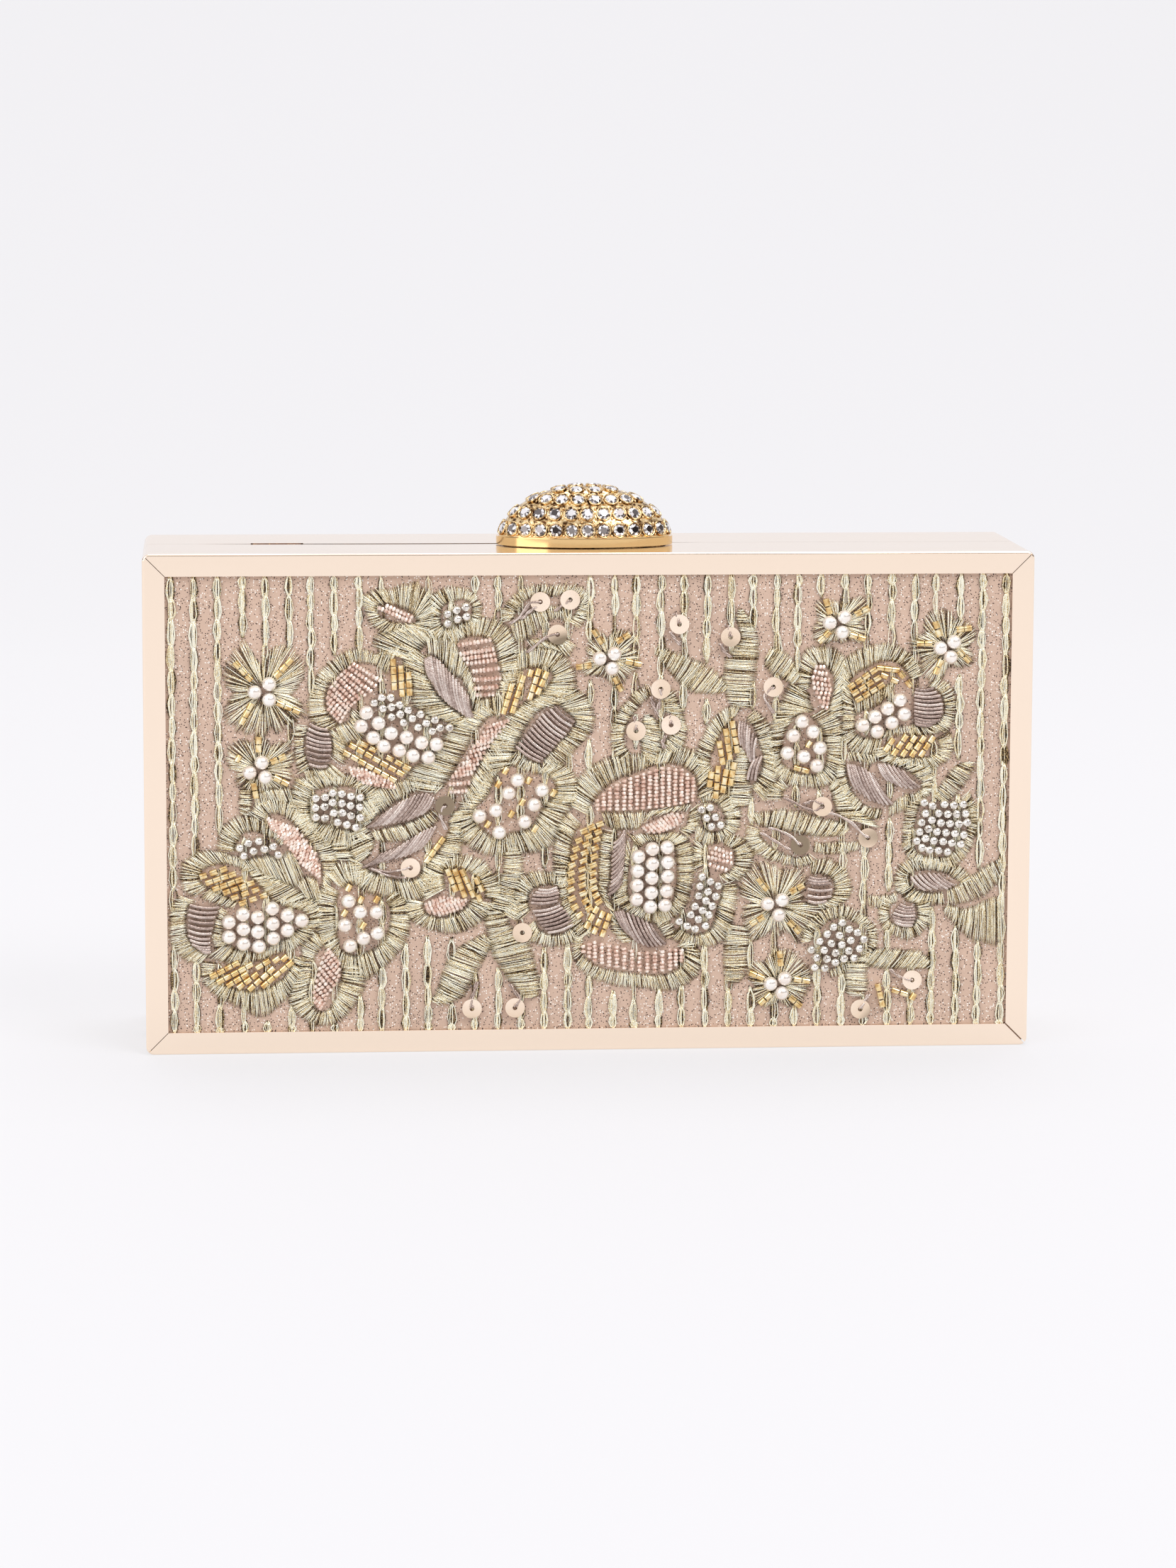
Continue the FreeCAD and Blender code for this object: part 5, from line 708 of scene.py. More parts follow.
def chain_stitch():
    """Upright columns of loose chain stitch, each loop caught in the one below, in a few heaps."""
    heaps = [Heap() for _ in range(CHAIN_PIECES)]
    shapes = outlines()
    boxes = [(min(x for x, _ in shape), max(x for x, _ in shape), min(z for _, z in shape),
              max(z for _, z in shape), shape) for shape in shapes]

    def covered(x, z):
        return any(low < x < high and deep < z < tall and inside((x, z), shape)
                   for low, high, deep, tall, shape in boxes)

    for column in range(CHAIN_COLUMNS):
        heap = heaps[column * CHAIN_PIECES // CHAIN_COLUMNS]
        x = CHAIN_EDGE * (2 * column / (CHAIN_COLUMNS - 1) - 1) + frayed(COLUMN_FRAY)
        z = WINDOW_HIGH + random.uniform(0, CHAIN_STAGGER)
        while z > WINDOW_LOW:
            long = CHAIN_LOOP * random.uniform(*CHAIN_LENGTHS)
            top = min(z, WINDOW_HIGH + CHAIN_MARGIN)
            low = max(z - long * CHAIN_OVERLAP, WINDOW_LOW - CHAIN_MARGIN)
            sway = frayed(LOOP_SWAY)
            if top - low > CHAIN_SHORTEST and not covered(x, (top + low) / 2):
                for fibre in range(CHAIN_FIBRES):
                    side = 1 if fibre % 2 else -1
                    wide = side * random.uniform(*LOOP_WIDTHS) * CHAIN_REACH
                    swell = random.uniform(*LOOP_SWELLS)
                    path = [(x + frayed(CHAIN_PINCH), top + frayed(FIBRE_END_FRAY)),
                            (x + sway * UPPER_SWAY + wide * UPPER_WIDTH, top - (top - low) * UPPER_DEPTH),
                            (x + sway + wide + frayed(FIBRE_FRAY), top - (top - low) * swell),
                            (x + sway * LOWER_SWAY + wide * LOWER_WIDTH, top - (top - low) * LOWER_DEPTH),
                            (x + frayed(CHAIN_PINCH), low + frayed(FIBRE_END_FRAY))]
                    hidden = any(covered(*path[index]) for index in (1, 3))
                    if hidden and random.random() < COVERED_SHARE:
                        continue
                    shade, lift = lit(FIBRE_PAINTED_SHADE_SHARE)
                    line = [(px, FABRIC_Y - FIBRE_LIFT - lift - FIBRE_ARCH * math.sin(math.pi * n / 4), pz)
                            for n, (px, pz) in enumerate(path)]
                    tube(heap, line, random.uniform(*FIBRE_RADII), 4, shade)
                ball(heap, (x, FABRIC_Y - KNOT_LIFT, top - KNOT_DROP), KNOT_RADIUS, 4, 6,
                     random.random() * KNOT_TONE, KNOT_SQUEEZE)
            z -= long
    return heaps


# ---------------------------------------------------------------- bullion and cut beads

BULLION_RADIUS = 0.43
BULLION_SPACING = 0.98
BULLION_STATIONS = 9
BULLION_LIFT = 0.55
BULLION_BOW = 0.35
BULLION_FRAY = 0.04
COIL_PITCH = 0.34
COIL_STATIONS = 3
COIL_SIDES = 8
COIL_CORE = 0.86
COIL_SWELL = 0.14
COIL_TAPER = 0.5


def coiled_wire(heap, line, radius):
    """A wire of close coils along a line of points."""
    line = np.asarray(line, float)
    steps = np.linalg.norm(np.diff(line, axis=0), axis=1)
    mark = np.concatenate([[0], np.cumsum(steps)])
    count = max(8, round(mark[-1] / COIL_PITCH * COIL_STATIONS))
    where = np.linspace(0, mark[-1], count)
    fine = np.column_stack([np.interp(where, mark, line[:, axis]) for axis in range(3)])
    radii = radius * (COIL_CORE + COIL_SWELL * np.cos(2 * np.pi * where / COIL_PITCH))
    ends = np.minimum(where, mark[-1] - where)
    radii = radii * np.clip(COIL_TAPER + ends / COIL_TAPER, COIL_TAPER, 1.0)
    tube(heap, fine, radii, COIL_SIDES, random.random())


def bullion():
    """Bars of bullion wire, side by side between the ribs."""
    heap = Heap()
    for ribs in shapes_of(BULLION):
        for x0, z0, x1, z1 in ruled_lines(ribs, BULLION_SPACING):
            t = np.linspace(0, 1, BULLION_STATIONS)
            sag = BULLION_BOW * np.sin(np.pi * t) + frayed(BULLION_FRAY)
            across = np.array([z1 - z0, x0 - x1]) / (math.hypot(x1 - x0, z1 - z0) + 1e-9)
            bow = BULLION_BOW * np.sin(np.pi * t)
            line = np.column_stack([x0 + (x1 - x0) * t + across[0] * bow, FABRIC_Y - BULLION_LIFT - sag,
                                    z0 + (z1 - z0) * t + across[1] * bow])
            coiled_wire(heap, line, BULLION_RADIUS)
    return heap


TAIL_FIRST_LIFT = 1.3
TAIL_LIFT = 0.8
TAIL_STEPS = 6
TAIL_TWIST = 2.2
TAIL_ACROSS = 0.24
TAIL_OUT = 0.18
TAIL_RADIUS = 0.3


def sequin_tails():
    """Twisted pairs of fine wire that run out from under the sequins."""
    heap = Heap()
    for points in shapes_of(TAILS):
        line = smooth_path([(x, FABRIC_Y - (TAIL_LIFT if n else TAIL_FIRST_LIFT), z)
                            for n, (x, z) in enumerate(points)], TAIL_STEPS)
        for strand in (-1, 1):
            turn = np.linspace(0, TAIL_TWIST * math.pi, len(line))
            moved = line.copy()
            moved[:, 0] += strand * TAIL_ACROSS * np.cos(turn)
            moved[:, 1] += strand * TAIL_OUT * np.sin(turn)
            coiled_wire(heap, moved, TAIL_RADIUS)
    return heap


CUT_RADIUS = 0.52
CUT_RADII = (0.92, 1.06)
CUT_PITCH = 0.74
CUT_HALF = 0.47
CUT_RINGS = ((-1.0, 0.62), (-0.45, 1.0), (0.45, 1.0), (1.0, 0.62))
CUT_LIFT = 0.62
CUT_ARCH = 0.3
CUT_FRAY = 0.05
ROW_CLOSENESS = 0.92


def cut_bead(heap, middle, along, radius):
    """A short six-sided bead with its corners cut, on its side."""
    along = Vector(along).normalized()
    across = along.cross(Vector((0, -1, 0))).normalized()
    up = across.cross(along)
    middle = Vector(middle)
    half = CUT_PITCH * CUT_HALF
    spin = random.uniform(0, math.pi / 3)
    points, faces = [], []
    for place, share in CUT_RINGS:
        for side in range(6):
            turn = spin + math.pi * side / 3
            points.append(tuple(middle + along * (half * place) + (across * math.cos(turn)
                                + up * math.sin(turn)) * radius * share))
    for ring in range(3):
        for side in range(6):
            beside = (side + 1) % 6
            low = ring * 6
            faces.append((low + side, low + beside, low + 6 + beside, low + 6 + side))
    faces.append((5, 4, 3, 2, 1, 0))
    faces.append((18, 19, 20, 21, 22, 23))
    heap.add(points, faces, random.random())


def cut_bead_rows():
    """Rows of cut beads, strung between the ribs."""
    heap = Heap()
    for (spacing,), *ribs in shapes_of(CUT_BEADS):
        for x0, z0, x1, z1 in ruled_lines(ribs, spacing * ROW_CLOSENESS):
            long = math.hypot(x1 - x0, z1 - z0)
            count = max(2, int(long / CUT_PITCH))
            for index in range(count):
                t = (index + 0.5) / count
                y = FABRIC_Y - CUT_LIFT - CUT_ARCH * math.sin(math.pi * t)
                place = (x0 + (x1 - x0) * t + frayed(CUT_FRAY), y, z0 + (z1 - z0) * t + frayed(CUT_FRAY))
                cut_bead(heap, place, (x1 - x0, 0, z1 - z0), CUT_RADIUS * random.uniform(*CUT_RADII))
    return heap


# ---------------------------------------------------------------- clasp

# Each facet's lightness is a painted reflection: this share of facets gets a dark one, the rest a light one.
PAINTED_DARK_FACETS = 0.42
DARK_GLINTS = (0.0, 0.4)
LIGHT_GLINTS = (0.6, 1.0)
POINT_DEPTH = 0.5
# Each ring of a stone's corners: radius, height (shares of the stone's radius), count, shift.
BRILLIANT_RINGS = ((0.5, 0.36, 8, 0.0), (0.8, 0.24, 8, 0.5), (1.0, 0.0, 16, 0.0), (0.5, -0.3, 8, 0.5))


def brilliant(heap, middle, outward, radius):
    """A round brilliant: a flat table and rings of facets, each its own lightness, a painted reflection
    either dark or light.
    """
    turn = Vector((0, 0, 1)).rotation_difference(outward)
    spin = random.uniform(0, math.pi / 4)
    points, starts = [], []
    for share, lift, count, shift in BRILLIANT_RINGS:
        starts.append(len(points))
        for side in range(count):
            angle = spin + 2 * math.pi * (side + shift) / count
            spoke = Vector((share * math.cos(angle), share * math.sin(angle), lift)) * radius
            points.append(tuple(middle + turn @ spoke))
    points.append(tuple(middle + turn @ Vector((0, 0, -POINT_DEPTH * radius))))
    table, star, girdle, belly = starts
    point = len(points) - 1
    faces = [tuple(range(8))]
    for side in range(8):
        after = (side + 1) % 8
        here, mid, beside = girdle + 2 * side, girdle + 2 * side + 1, girdle + 2 * after
        faces += [(table + side, star + side, table + after), (table + side, here, star + side),
                  (table + after, star + side, beside), (here, mid, star + side),
                  (mid, beside, star + side), (here, belly + side, mid), (mid, belly + side, beside),
                  (beside, belly + side, belly + after), (belly + side, point, belly + after)]
    for face in faces:
        glints = DARK_GLINTS if random.random() < PAINTED_DARK_FACETS else LIGHT_GLINTS
        glint = random.uniform(*glints)
        heap.add([points[corner] for corner in face], [tuple(range(len(face)))], glint)


BEZEL_TALL = 1.8
BEZEL_SIDES = 20
BEZEL_PARTS = 6


def bezel(heap, middle, outward, radius, wire):
    """A raised round rim about a stone."""
    turn = Vector((0, 0, 1)).rotation_difference(outward)
    points, faces = [], []
    for side in range(BEZEL_SIDES):
        angle = 2 * math.pi * side / BEZEL_SIDES
        spoke = Vector((math.cos(angle), math.sin(angle), 0))
        for part in range(BEZEL_PARTS):
            round_angle = 2 * math.pi * part / BEZEL_PARTS
            lift = Vector((0, 0, wire * BEZEL_TALL * math.sin(round_angle)))
            offset = spoke * (radius + wire * math.cos(round_angle)) + lift
            points.append(tuple(middle + turn @ offset))
    for side in range(BEZEL_SIDES):
        here, beside = side * BEZEL_PARTS, (side + 1) % BEZEL_SIDES * BEZEL_PARTS
        for part in range(BEZEL_PARTS):
            after = (part + 1) % BEZEL_PARTS
            faces.append((here + part, beside + part, beside + after, here + after))
    heap.add(points, faces, 0.5)


STONE_RINGS = ((16.5, 26), (34.0, 22), (52.0, 16), (70.0, 8))
CROWN_STONES = (-1.9, 1.9)
STONE_RADIUS = 1.4
STONE_LIFT = 0.05
RIM_WIRE = 0.18
RIM_SEAT = 0.6
RIM_LIFT = 0.1
RING_STATIONS = 1441
DOME_LONG, DOME_SHORT, DOME_TALL = 18.2, 10.0, 12.2
DOME_FOOT = 104.7
GRAIN_NEAR = 3.6
GRAIN_LIFT = 0.12
GRAIN_SHIFT = 1.15
GRAIN_CLEAR = 1.75
GRAIN_RADIUS = 0.34


def stone_places():
    """Where the dome's stones sit, and which way each faces."""
    dome_low, dome_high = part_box("clasp_dome")
    base = Vector(((dome_low.x + dome_high.x) / 2, (dome_low.y + dome_high.y) / 2, 0)) / MM
    base.z = DOME_FOOT
    places = []

    def add(x, y, z):
        outward = Vector((x / DOME_LONG, y / DOME_SHORT, z / DOME_TALL)).normalized()
        skin = Vector((DOME_LONG * x, DOME_SHORT * y, DOME_TALL * z))
        places.append((base + skin, outward))

    for lift, count in STONE_RINGS:
        tilt = math.radians(lift)
        ring = math.cos(tilt)
        fine = np.linspace(0, 2 * np.pi, RING_STATIONS)
        steps = np.hypot(np.diff(DOME_LONG * ring * np.cos(fine)), np.diff(DOME_SHORT * ring * np.sin(fine)))
        mark = np.concatenate([[0], np.cumsum(steps)])
        for item in range(count):
            angle = float(np.interp(mark[-1] * (item + 0.5) / count, mark, fine))
            add(ring * math.cos(angle), ring * math.sin(angle), math.sin(tilt))
    for x in CROWN_STONES:
        add(x / DOME_LONG, 0, math.sqrt(1 - (x / DOME_LONG) ** 2))
    return places


def clasp_pave(materials):
    """Faceted stones, their rims, and the grains of metal that hold them."""
    stones, rims, grains = Heap(), Heap(), Heap()
    places = stone_places()
    for middle, outward in places:
        brilliant(stones, middle + outward * STONE_LIFT, outward, STONE_RADIUS)
        bezel(rims, middle + outward * RIM_LIFT, outward, STONE_RADIUS + RIM_WIRE * RIM_SEAT, RIM_WIRE)
    for index, (middle, outward) in enumerate(places):
        for beside, faces_to in places[:index]:
            if (middle - beside).length < GRAIN_NEAR:
                between = (middle + beside) / 2 + (outward + faces_to).normalized() * GRAIN_LIFT
                side = (middle - beside).cross(outward + faces_to).normalized()
                for shift in (-GRAIN_SHIFT, GRAIN_SHIFT):
                    spot = between + side * shift
                    if all((spot - place).length > GRAIN_CLEAR for place, _ in places):
                        ball(grains, tuple(spot), GRAIN_RADIUS, 5, 8, 0.5)
    stones_piece = stones.piece("clasp_crystals", "latch", "crystal", materials["crystal"], smooth=False)
    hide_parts("clasp_stones")
    rims.piece("clasp_rims", "latch", "clasp_gold", materials["clasp_gold"])
    grains.piece("clasp_grains", "latch", "clasp_gold", materials["clasp_gold"])


# ---------------------------------------------------------------- materials

def colour(red, green, blue):
    """An sRGB colour, 0 to 255, as a linear one."""
    linear = []
    for value in (red, green, blue):
        share = value / 255
        linear.append(share / 12.92 if share <= 0.04045 else ((share + 0.055) / 1.055) ** 2.4)
    return (*linear, 1.0)


class Finish:
    """A material and short calls for its nodes."""

    def __init__(self, name, base, metallic=0.0, roughness=0.4, **sockets):
        self.material = bpy.data.materials.new(name)
        self.material.use_nodes = True
        self.tree = self.material.node_tree
        self.shader = self.tree.nodes["Principled BSDF"]
        self.shader.inputs["Base Color"].default_value = base
        self.shader.inputs["Metallic"].default_value = metallic
        self.shader.inputs["Roughness"].default_value = roughness
        for socket, value in sockets.items():
            self.shader.inputs[socket.replace("_", " ")].default_value = value

    def node(self, kind, **inputs):
        made = self.tree.nodes.new(kind)
        for socket, value in inputs.items():
            target = made.inputs[socket.replace("_", " ")]
            if isinstance(value, bpy.types.NodeSocket):
                self.tree.links.new(value, target)
            else:
                target.default_value = value
        return made

    def link(self, source, socket):
        self.tree.links.new(source, self.shader.inputs[socket])

    def where(self):
        """Object coordinates in millimetres."""
        place = self.node("ShaderNodeTexCoord").outputs["Object"]
        scale = self.node("ShaderNodeVectorMath", Vector=place)
        scale.operation = "SCALE"
        scale.inputs["Scale"].default_value = 1 / MM
        return scale.outputs["Vector"]

    def noise(self, scale, detail=3.0):
        made = self.node("ShaderNodeTexNoise", Vector=self.where(), Scale=scale, Detail=detail)
        return made.outputs["Fac"]

    def shade(self):
        made = self.node("ShaderNodeAttribute")
        made.attribute_name = "shade"
        return made.outputs["Fac"]

    def ramp(self, fac, stops):
        made = self.node("ShaderNodeValToRGB", Fac=fac)
        elements = made.color_ramp.elements
        while len(elements) < len(stops):
            elements.new(0.5)
        for element, (place, tone) in zip(elements, stops):
            element.position = place
            element.color = tone
        return made.outputs["Color"]

    def span(self, value, low, high, least=0.0, most=1.0):
        """A value that runs from least to most, spread over low to high and held there."""
        made = self.node("ShaderNodeMapRange", Value=value)
        made.inputs["From Min"].default_value = least
        made.inputs["From Max"].default_value = most
        made.inputs["To Min"].default_value = low
        made.inputs["To Max"].default_value = high
        return made.outputs["Result"]

    def combine(self, operation, first, second):
        """Two values added or multiplied."""
        made = self.node("ShaderNodeMath")
        made.operation = operation
        for index, value in enumerate((first, second)):
            self.tree.links.new(value, made.inputs[index])
        return made.outputs["Value"]

    def add(self, first, second):
        return self.combine("ADD", first, second)

    def mix(self, share, first, second):
        """Two colours, each a socket or a plain colour, mixed by a share."""
        made = self.node("ShaderNodeMix")
        made.data_type = "RGBA"
        self.tree.links.new(share, made.inputs["Factor"])
        ends = [socket for socket in made.inputs if socket.type == "RGBA"]
        for end, tone in zip(ends, (first, second)):
            if isinstance(tone, bpy.types.NodeSocket):
                self.tree.links.new(tone, end)
            else:
                end.default_value = tone
        return [socket for socket in made.outputs if socket.type == "RGBA"][0]

    def bump(self, height, strength, distance):
        made = self.node("ShaderNodeBump", Height=height, Strength=strength, Distance=distance)
        self.link(made.outputs["Normal"], "Normal")


def plated_metal(name, base, low, high):
    """Polished plate with faint smudges and a breath of unevenness."""
    finish = Finish(name, base, metallic=1.0, roughness=low)
    smudge = finish.noise(scale=0.12, detail=5.0)
    finish.link(finish.span(smudge, low, high), "Roughness")
    finish.bump(finish.noise(scale=0.5, detail=2.0), strength=0.04, distance=0.0002)
    return finish.material


BAND_TOP = (106.5, 107.1)


def chased_gold():
    """The clasp's gold: finely pitted between the stones, smooth on the band below them."""
    finish = Finish("clasp_gold", colour(236, 202, 146), metallic=1.0, roughness=0.13)
    height = finish.node("ShaderNodeSeparateXYZ", Vector=finish.where()).outputs["Z"]
    pitted = finish.span(height, 0.0, 1.0, *BAND_TOP)
    pits = finish.noise(scale=1.1, detail=3.0)
    # The dark stop, where the pits are deepest, is painted shade in them.
    tone = finish.ramp(pits, ((0.36, colour(84, 54, 32)), (0.5, colour(220, 188, 138)),
                              (0.68, colour(252, 230, 188))))
    finish.link(finish.mix(pitted, colour(238, 200, 142), tone), "Base Color")
    finish.bump(finish.combine("MULTIPLY", pits, pitted), strength=0.3, distance=0.0003)
    return finish.material


def brushed_steel(name, base):
    """Plain plated steel with a fine grain."""
    finish = Finish(name, base, metallic=1.0, roughness=0.28)
    finish.link(finish.span(finish.noise(scale=2.0, detail=4.0), 0.2, 0.42), "Roughness")
    finish.bump(finish.noise(scale=6.0, detail=2.0), strength=0.1, distance=0.0001)
    return finish.material


FLECK_RADIUS = 0.34
GROUND_GAIN = 1.12


def glitter_fabric(name, ground, glints, dark_reflection_tone):
    """A woven ground strewn with fine glitter; the glitter's light and dark flecks are painted reflections,
    light glints and dark ones.
    """
    finish = Finish(name, ground, roughness=0.62, Sheen_Weight=0.25)
    cells = finish.node("ShaderNodeTexVoronoi", Vector=finish.where(), Scale=2.5)
    fleck = finish.node("ShaderNodeSeparateColor", Color=cells.outputs["Color"])
    near = finish.node("ShaderNodeMath", Value=cells.outputs["Distance"])
    near.operation = "LESS_THAN"
    near.inputs[1].default_value = FLECK_RADIUS

    def some(channel, least):
        pick = finish.node("ShaderNodeMath", Value=fleck.outputs[channel])
        pick.operation = "GREATER_THAN"
        pick.inputs[1].default_value = least
        return finish.combine("MULTIPLY", pick.outputs["Value"], near.outputs["Value"])

    lighter = tuple(value * GROUND_GAIN for value in ground)
    tint = finish.ramp(finish.noise(scale=0.08, detail=3.0), ((0.3, ground), (0.75, lighter)))
    # Light flecks are painted glints on the glitter, and dark flecks are painted dark reflections.
    light = some("Red", least=0.62)
    dark = some("Green", least=0.74)
    finish.link(finish.mix(dark, finish.mix(light, tint, glints), dark_reflection_tone), "Base Color")
    finish.link(finish.span(light, 0.66, 0.25), "Roughness")
    finish.bump(finish.add(light, finish.noise(scale=5.0, detail=2.0)), strength=0.35, distance=0.0002)
    return finish.material


def metallic_thread():
    """Pale gold yarn: foil twisted round a core, lighter and darker thread by thread. The flecks along each
    thread are painted glints, and the darkest threads are painted shade between the others.
    """
    finish = Finish("gold_thread", colour(214, 196, 158), metallic=0.6, roughness=0.26)
    fleck = finish.noise(scale=4.2, detail=3.0)
    # Noise flecks along each thread, added into the colour: painted glints of the twisted foil.
    painted_glint_flecks = finish.span(fleck, low=0.02, high=0.36, least=0.36, most=0.62)
    mixed = finish.add(painted_glint_flecks, finish.span(finish.shade(), low=0.0, high=0.68))
    # Ramp: the darkest stop is painted shade for the sunk threads, the near-white stop painted glints;
    # between them lies the yarn's gold.
    tone = finish.ramp(mixed, ((0.24, colour(48, 35, 20)), (0.4, colour(172, 144, 98)),
                               (0.56, colour(252, 234, 188)), (0.76, colour(255, 253, 236))))
    finish.link(tone, "Base Color")
    finish.bump(fleck, strength=0.8, distance=0.0001)
    return finish.material


def coil_wire():
    """Mauve-grey bullion, its tone varying wire by wire; its silvery patches are painted highlights and its
    darkest ones painted shade on the coils.
    """
    finish = Finish("mauve_bullion", colour(190, 168, 165), metallic=0.85, roughness=0.26)
    cloudy = finish.span(finish.noise(scale=2.2, detail=3.0), low=0.0, high=0.6)
    mixed = finish.add(cloudy, finish.span(finish.shade(), low=0.1, high=0.4))
    # Ramp: the light stop paints highlights, the dark stop paints shade; the middle is the wire's
    # mauve-grey.
    tone = finish.ramp(mixed, ((0.2, colour(92, 74, 66)), (0.5, colour(186, 166, 156)),
                               (0.85, colour(242, 230, 222))))
    finish.link(tone, "Base Color")
    return finish.material


def shaded_metal(name, dark, middle, light, roughness, metallic=0.9):
    """Small beads, each a little lighter or darker than the next."""
    finish = Finish(name, middle, metallic=metallic, roughness=roughness)
    tone = finish.ramp(finish.noise(scale=0.9, detail=2.0), ((0.3, dark), (0.45, middle), (0.62, light)))
    finish.link(tone, "Base Color")
    return finish.material


def pearl():
    """Glass pearl: a milky coat over a warm core."""
    finish = Finish("pearl", colour(248, 240, 230), metallic=0.55, roughness=0.22, Coat_Weight=1.0,
                    Coat_Roughness=0.04)
    tone = finish.ramp(finish.noise(scale=0.45, detail=2.0),
                       ((0.3, colour(246, 231, 218)), (0.6, colour(254, 249, 243))))
    finish.link(tone, "Base Color")
    return finish.material


def cup_sequin():
    """Champagne sequins, a few of them darker: the darker ones are painted reflection, mirror-like sequins
    reflecting dark surroundings.
    """
    finish = Finish("champagne_sequin", colour(240, 218, 196), metallic=0.55, roughness=0.16,
                    Coat_Weight=0.6)
    # The dark stop is a painted reflection on a few sequins.
    tone = finish.ramp(finish.noise(scale=0.06, detail=1.0),
                       ((0.4, colour(140, 122, 98)), (0.47, colour(236, 212, 186)),
                        (0.6, colour(252, 232, 212))))
    finish.link(tone, "Base Color")
    return finish.material


def tube_glass():
    """Gold-lined glass: bright gold under a clear coat, its tone varying at random; its near-white patches
    are painted highlights.
    """
    finish = Finish("gold_lined_glass", colour(226, 176, 82), metallic=0.85, roughness=0.14, Coat_Weight=1.0)
    # The near-white stop is a painted highlight on the tubes.
    tone = finish.ramp(finish.noise(scale=0.75, detail=2.0),
                       ((0.3, colour(204, 158, 88)), (0.48, colour(242, 210, 146)),
                        (0.68, colour(255, 244, 206))))
    finish.link(tone, "Base Color")
    return finish.material


def cut_crystal():
    """Cut crystal with foil behind it; each facet's colour, from dark to near white, is a painted
    reflection.
    """
    finish = Finish("crystal", colour(244, 242, 246), metallic=0.85, roughness=0.03, Coat_Weight=1.0)
    # Ramp on each facet's shade: painted reflections, dark to near white.
    tone = finish.ramp(finish.shade(), ((0.0, colour(58, 50, 48)), (0.4, colour(150, 142, 142)),
                                        (0.62, colour(232, 228, 230)), (1.0, colour(255, 254, 255))))
    finish.link(tone, "Base Color")
    return finish.material


def pressed_card():
    """Pressed card, a little mottled."""
    finish = Finish("grey_card", colour(158, 137, 112), roughness=0.9)
    fibre = finish.noise(scale=1.6, detail=6.0)
    tone = finish.ramp(fibre, ((0.3, colour(132, 112, 88)), (0.7, colour(176, 156, 130))))
    finish.link(tone, "Base Color")
    finish.bump(fibre, strength=0.4, distance=0.0002)
    return finish.material


def satin_lining():
    """Satin: a fine warp-faced weave with soft streaks."""
    finish = Finish("satin_lining", colour(196, 168, 156), roughness=0.38, Sheen_Weight=0.6)
    streak = finish.node("ShaderNodeTexWave", Vector=finish.where(), Scale=2.4, Distortion=1.2)
    tone = finish.ramp(finish.noise(scale=0.03, detail=2.0),
                       ((0.3, colour(192, 162, 150)), (0.7, colour(202, 174, 162))))
    finish.link(tone, "Base Color")
    finish.bump(streak.outputs["Fac"], strength=0.25, distance=0.0001)
    return finish.material


def make_materials():
    ground = colour(200, 172, 153)
    return {
        "rose_gold": plated_metal("rose_gold", colour(255, 236, 216), low=0.1, high=0.17),
        "rose_gold_hardware": plated_metal("rose_gold_hardware", colour(236, 190, 158), low=0.12, high=0.26),
        "clasp_gold": chased_gold(),
        "steel": brushed_steel("nickelled_steel", colour(218, 214, 208)),
        "spring_steel": brushed_steel("spring_wire", colour(200, 198, 196)),
        "board": pressed_card(),
        "panel_fabric": glitter_fabric("glitter_fabric", ground, colour(255, 248, 240), colour(74, 54, 46)),
        "lining": satin_lining(),
        "tray": plated_metal("tray_sheet", colour(226, 206, 192), low=0.25, high=0.4),
        "crystal": cut_crystal(),
        "strap_glitter": glitter_fabric("strap_glitter", colour(98, 62, 38), colour(226, 184, 120),
                                        colour(40, 24, 14)),
        "pearl": pearl(),
        "seed_silver": shaded_metal("silver_lined", colour(176, 166, 156), colour(230, 224, 216),
                                    colour(255, 252, 246), roughness=0.12),
        "sequin": cup_sequin(),
        "tube_gold": tube_glass(),
        "thread": metallic_thread(),
        "bullion": coil_wire(),
        "cut_bead": shaded_metal("champagne_cut", colour(206, 168, 150), colour(240, 212, 196),
                                 colour(255, 244, 234), roughness=0.28, metallic=0.5),
    }


def dress_nodes(materials):
    """Give every CAD node the finish of its own material slot."""
    for row in frame["record"]["subparts"]:
        node = NODES[row["node"]]
        node.data.materials.clear()
        node.data.materials.append(materials[row["material_slot"]])


# ---------------------------------------------------------------- the whole bag

SATIN_PIECES = 5


def build():
    """Dress the CAD nodes, then add the needlework and the clasp's stones."""
    materials = make_materials()
    dress_nodes(materials)
    thread_look = ("panel_fabric", materials["thread"])
    bands = shapes_of(SATIN)
    share = math.ceil(len(bands) / SATIN_PIECES)
    for number in range(SATIN_PIECES):
        heap = satin_bands(bands[number * share:(number + 1) * share])
        heap.piece("satin_stitch_%d" % (number + 1), "front_half", *thread_look)
    flower_petals().piece("flower_stitch", "front_half", *thread_look)
    for number, heap in enumerate(chain_stitch()):
        heap.piece("chain_stitch_%d" % (number + 1), "front_half", *thread_look)
    bullion().piece("bullion_wire", "front_half", "seed_silver", materials["bullion"])
    sequin_tails().piece("sequin_tails", "front_half", "seed_silver", materials["bullion"])
    cut_bead_rows().piece("cut_beads", "front_half", "sequin", materials["cut_bead"], smooth=False)
    clasp_pave(materials)


# ---------------------------------------------------------------- studio

BEND_STEPS = 12
FLOOR_GLOW = 0.69
# Name, place, aim, (width, height) and power of each lamp, in metres and watts.
LAMPS = (
    ("key", (0.7, -0.9, 1.3), (0, 0, 0.05), (0.9, 0.9), 12.0),
    ("fill", (-1.1, -1.0, 0.7), (0, 0, 0.05), (1.2, 1.0), 7.0),
    ("top", (0.1, 0.5, 1.4), (0, 0, 0.1), (1.0, 0.7), 6.0),
)


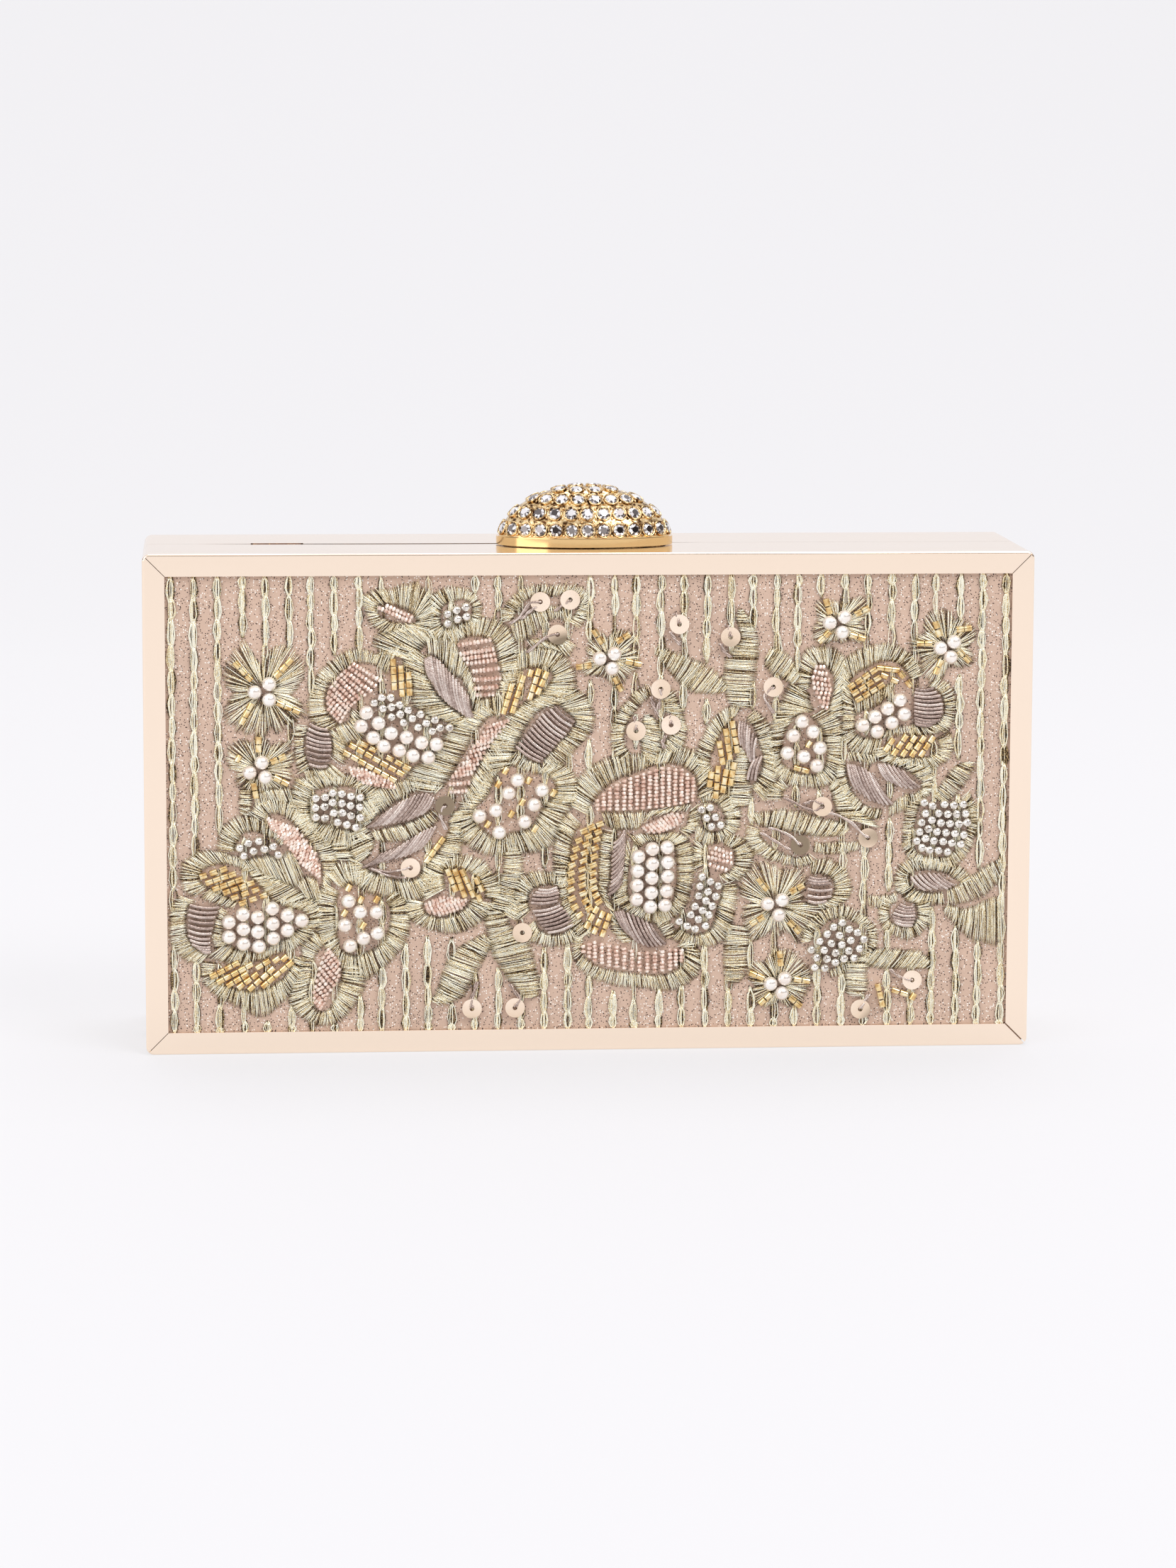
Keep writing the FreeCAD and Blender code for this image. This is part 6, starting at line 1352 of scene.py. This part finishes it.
def studio():
    """A pale floor that bends up behind the bag, a grey-white sky and three soft lamps."""
    floor_mesh = bpy.data.meshes.new("floor")
    reach, back, rise, bend = 3.0, 1.2, 2.5, 0.5
    profile = [(-reach, 0.0), (back - bend, 0.0)]
    for step in range(1, BEND_STEPS + 1):
        angle = math.pi / 2 * step / BEND_STEPS
        profile.append((back - bend + bend * math.sin(angle), bend - bend * math.cos(angle)))
    profile.append((back, rise))
    points = [(x, y, z) for y, z in profile for x in (-reach, reach)]
    faces = [(2 * n, 2 * n + 1, 2 * n + 3, 2 * n + 2) for n in range(len(profile) - 1)]
    floor_mesh.from_pydata(points, [], faces)
    floor_mesh.polygons.foreach_set("use_smooth", [True] * len(faces))
    floor = bpy.data.objects.new("floor", floor_mesh)
    bpy.context.scene.collection.objects.link(floor)
    finish = Finish("pale_floor", colour(120, 118, 122), roughness=0.8)
    finish.shader.inputs["Emission Color"].default_value = colour(246, 246, 247)
    finish.shader.inputs["Emission Strength"].default_value = FLOOR_GLOW
    floor_mesh.materials.append(finish.material)

    world = bpy.data.worlds.new("studio")
    world.use_nodes = True
    tree = world.node_tree
    place = tree.nodes.new("ShaderNodeTexCoord")
    split = tree.nodes.new("ShaderNodeSeparateXYZ")
    tree.links.new(place.outputs["Generated"], split.inputs["Vector"])
    tall = tree.nodes.new("ShaderNodeValToRGB")
    tree.links.new(split.outputs["Z"], tall.inputs["Fac"])
    elements = tall.color_ramp.elements
    elements[0].position, elements[0].color = 0.1, colour(250, 248, 248)
    elements[1].position, elements[1].color = 0.6, colour(252, 250, 252)
    for where, tone in ((0.22, colour(112, 104, 101)), (0.4, colour(122, 114, 111))):
        elements.new(where).color = tone
    tree.links.new(tall.outputs["Color"], tree.nodes["Background"].inputs["Color"])
    tree.nodes["Background"].inputs["Strength"].default_value = 1.0
    bpy.context.scene.world = world

    for name, place, aim, size, power in LAMPS:
        lamp = bpy.data.lights.new(name, "AREA")
        lamp.shape = "RECTANGLE"
        lamp.size, lamp.size_y = size
        lamp.energy = power
        thing = bpy.data.objects.new(name, lamp)
        bpy.context.scene.collection.objects.link(thing)
        thing.location = place
        thing.rotation_euler = (Vector(aim) - Vector(place)).to_track_quat("-Z", "Y").to_euler()


LENS_LENGTH = 146.05
CAMERA_PLACE = (-0.0776257, -0.999892, 0.197519)
CAMERA_TURN = (81.8124, -0.2098, -4.4733)


def camera():
    """Full-length view from the front, a little above, turned slightly to the left."""
    lens = bpy.data.cameras.new("camera")
    lens.sensor_fit = "HORIZONTAL"
    lens.sensor_width = 36.0
    lens.lens = LENS_LENGTH
    lens.clip_start = 0.05
    thing = bpy.data.objects.new("camera", lens)
    bpy.context.scene.collection.objects.link(thing)
    thing.location = CAMERA_PLACE
    thing.rotation_euler = tuple(math.radians(angle) for angle in CAMERA_TURN)
    bpy.context.scene.camera = thing


camera()
studio()
build()
bpy.context.scene.view_settings.view_transform = "Standard"
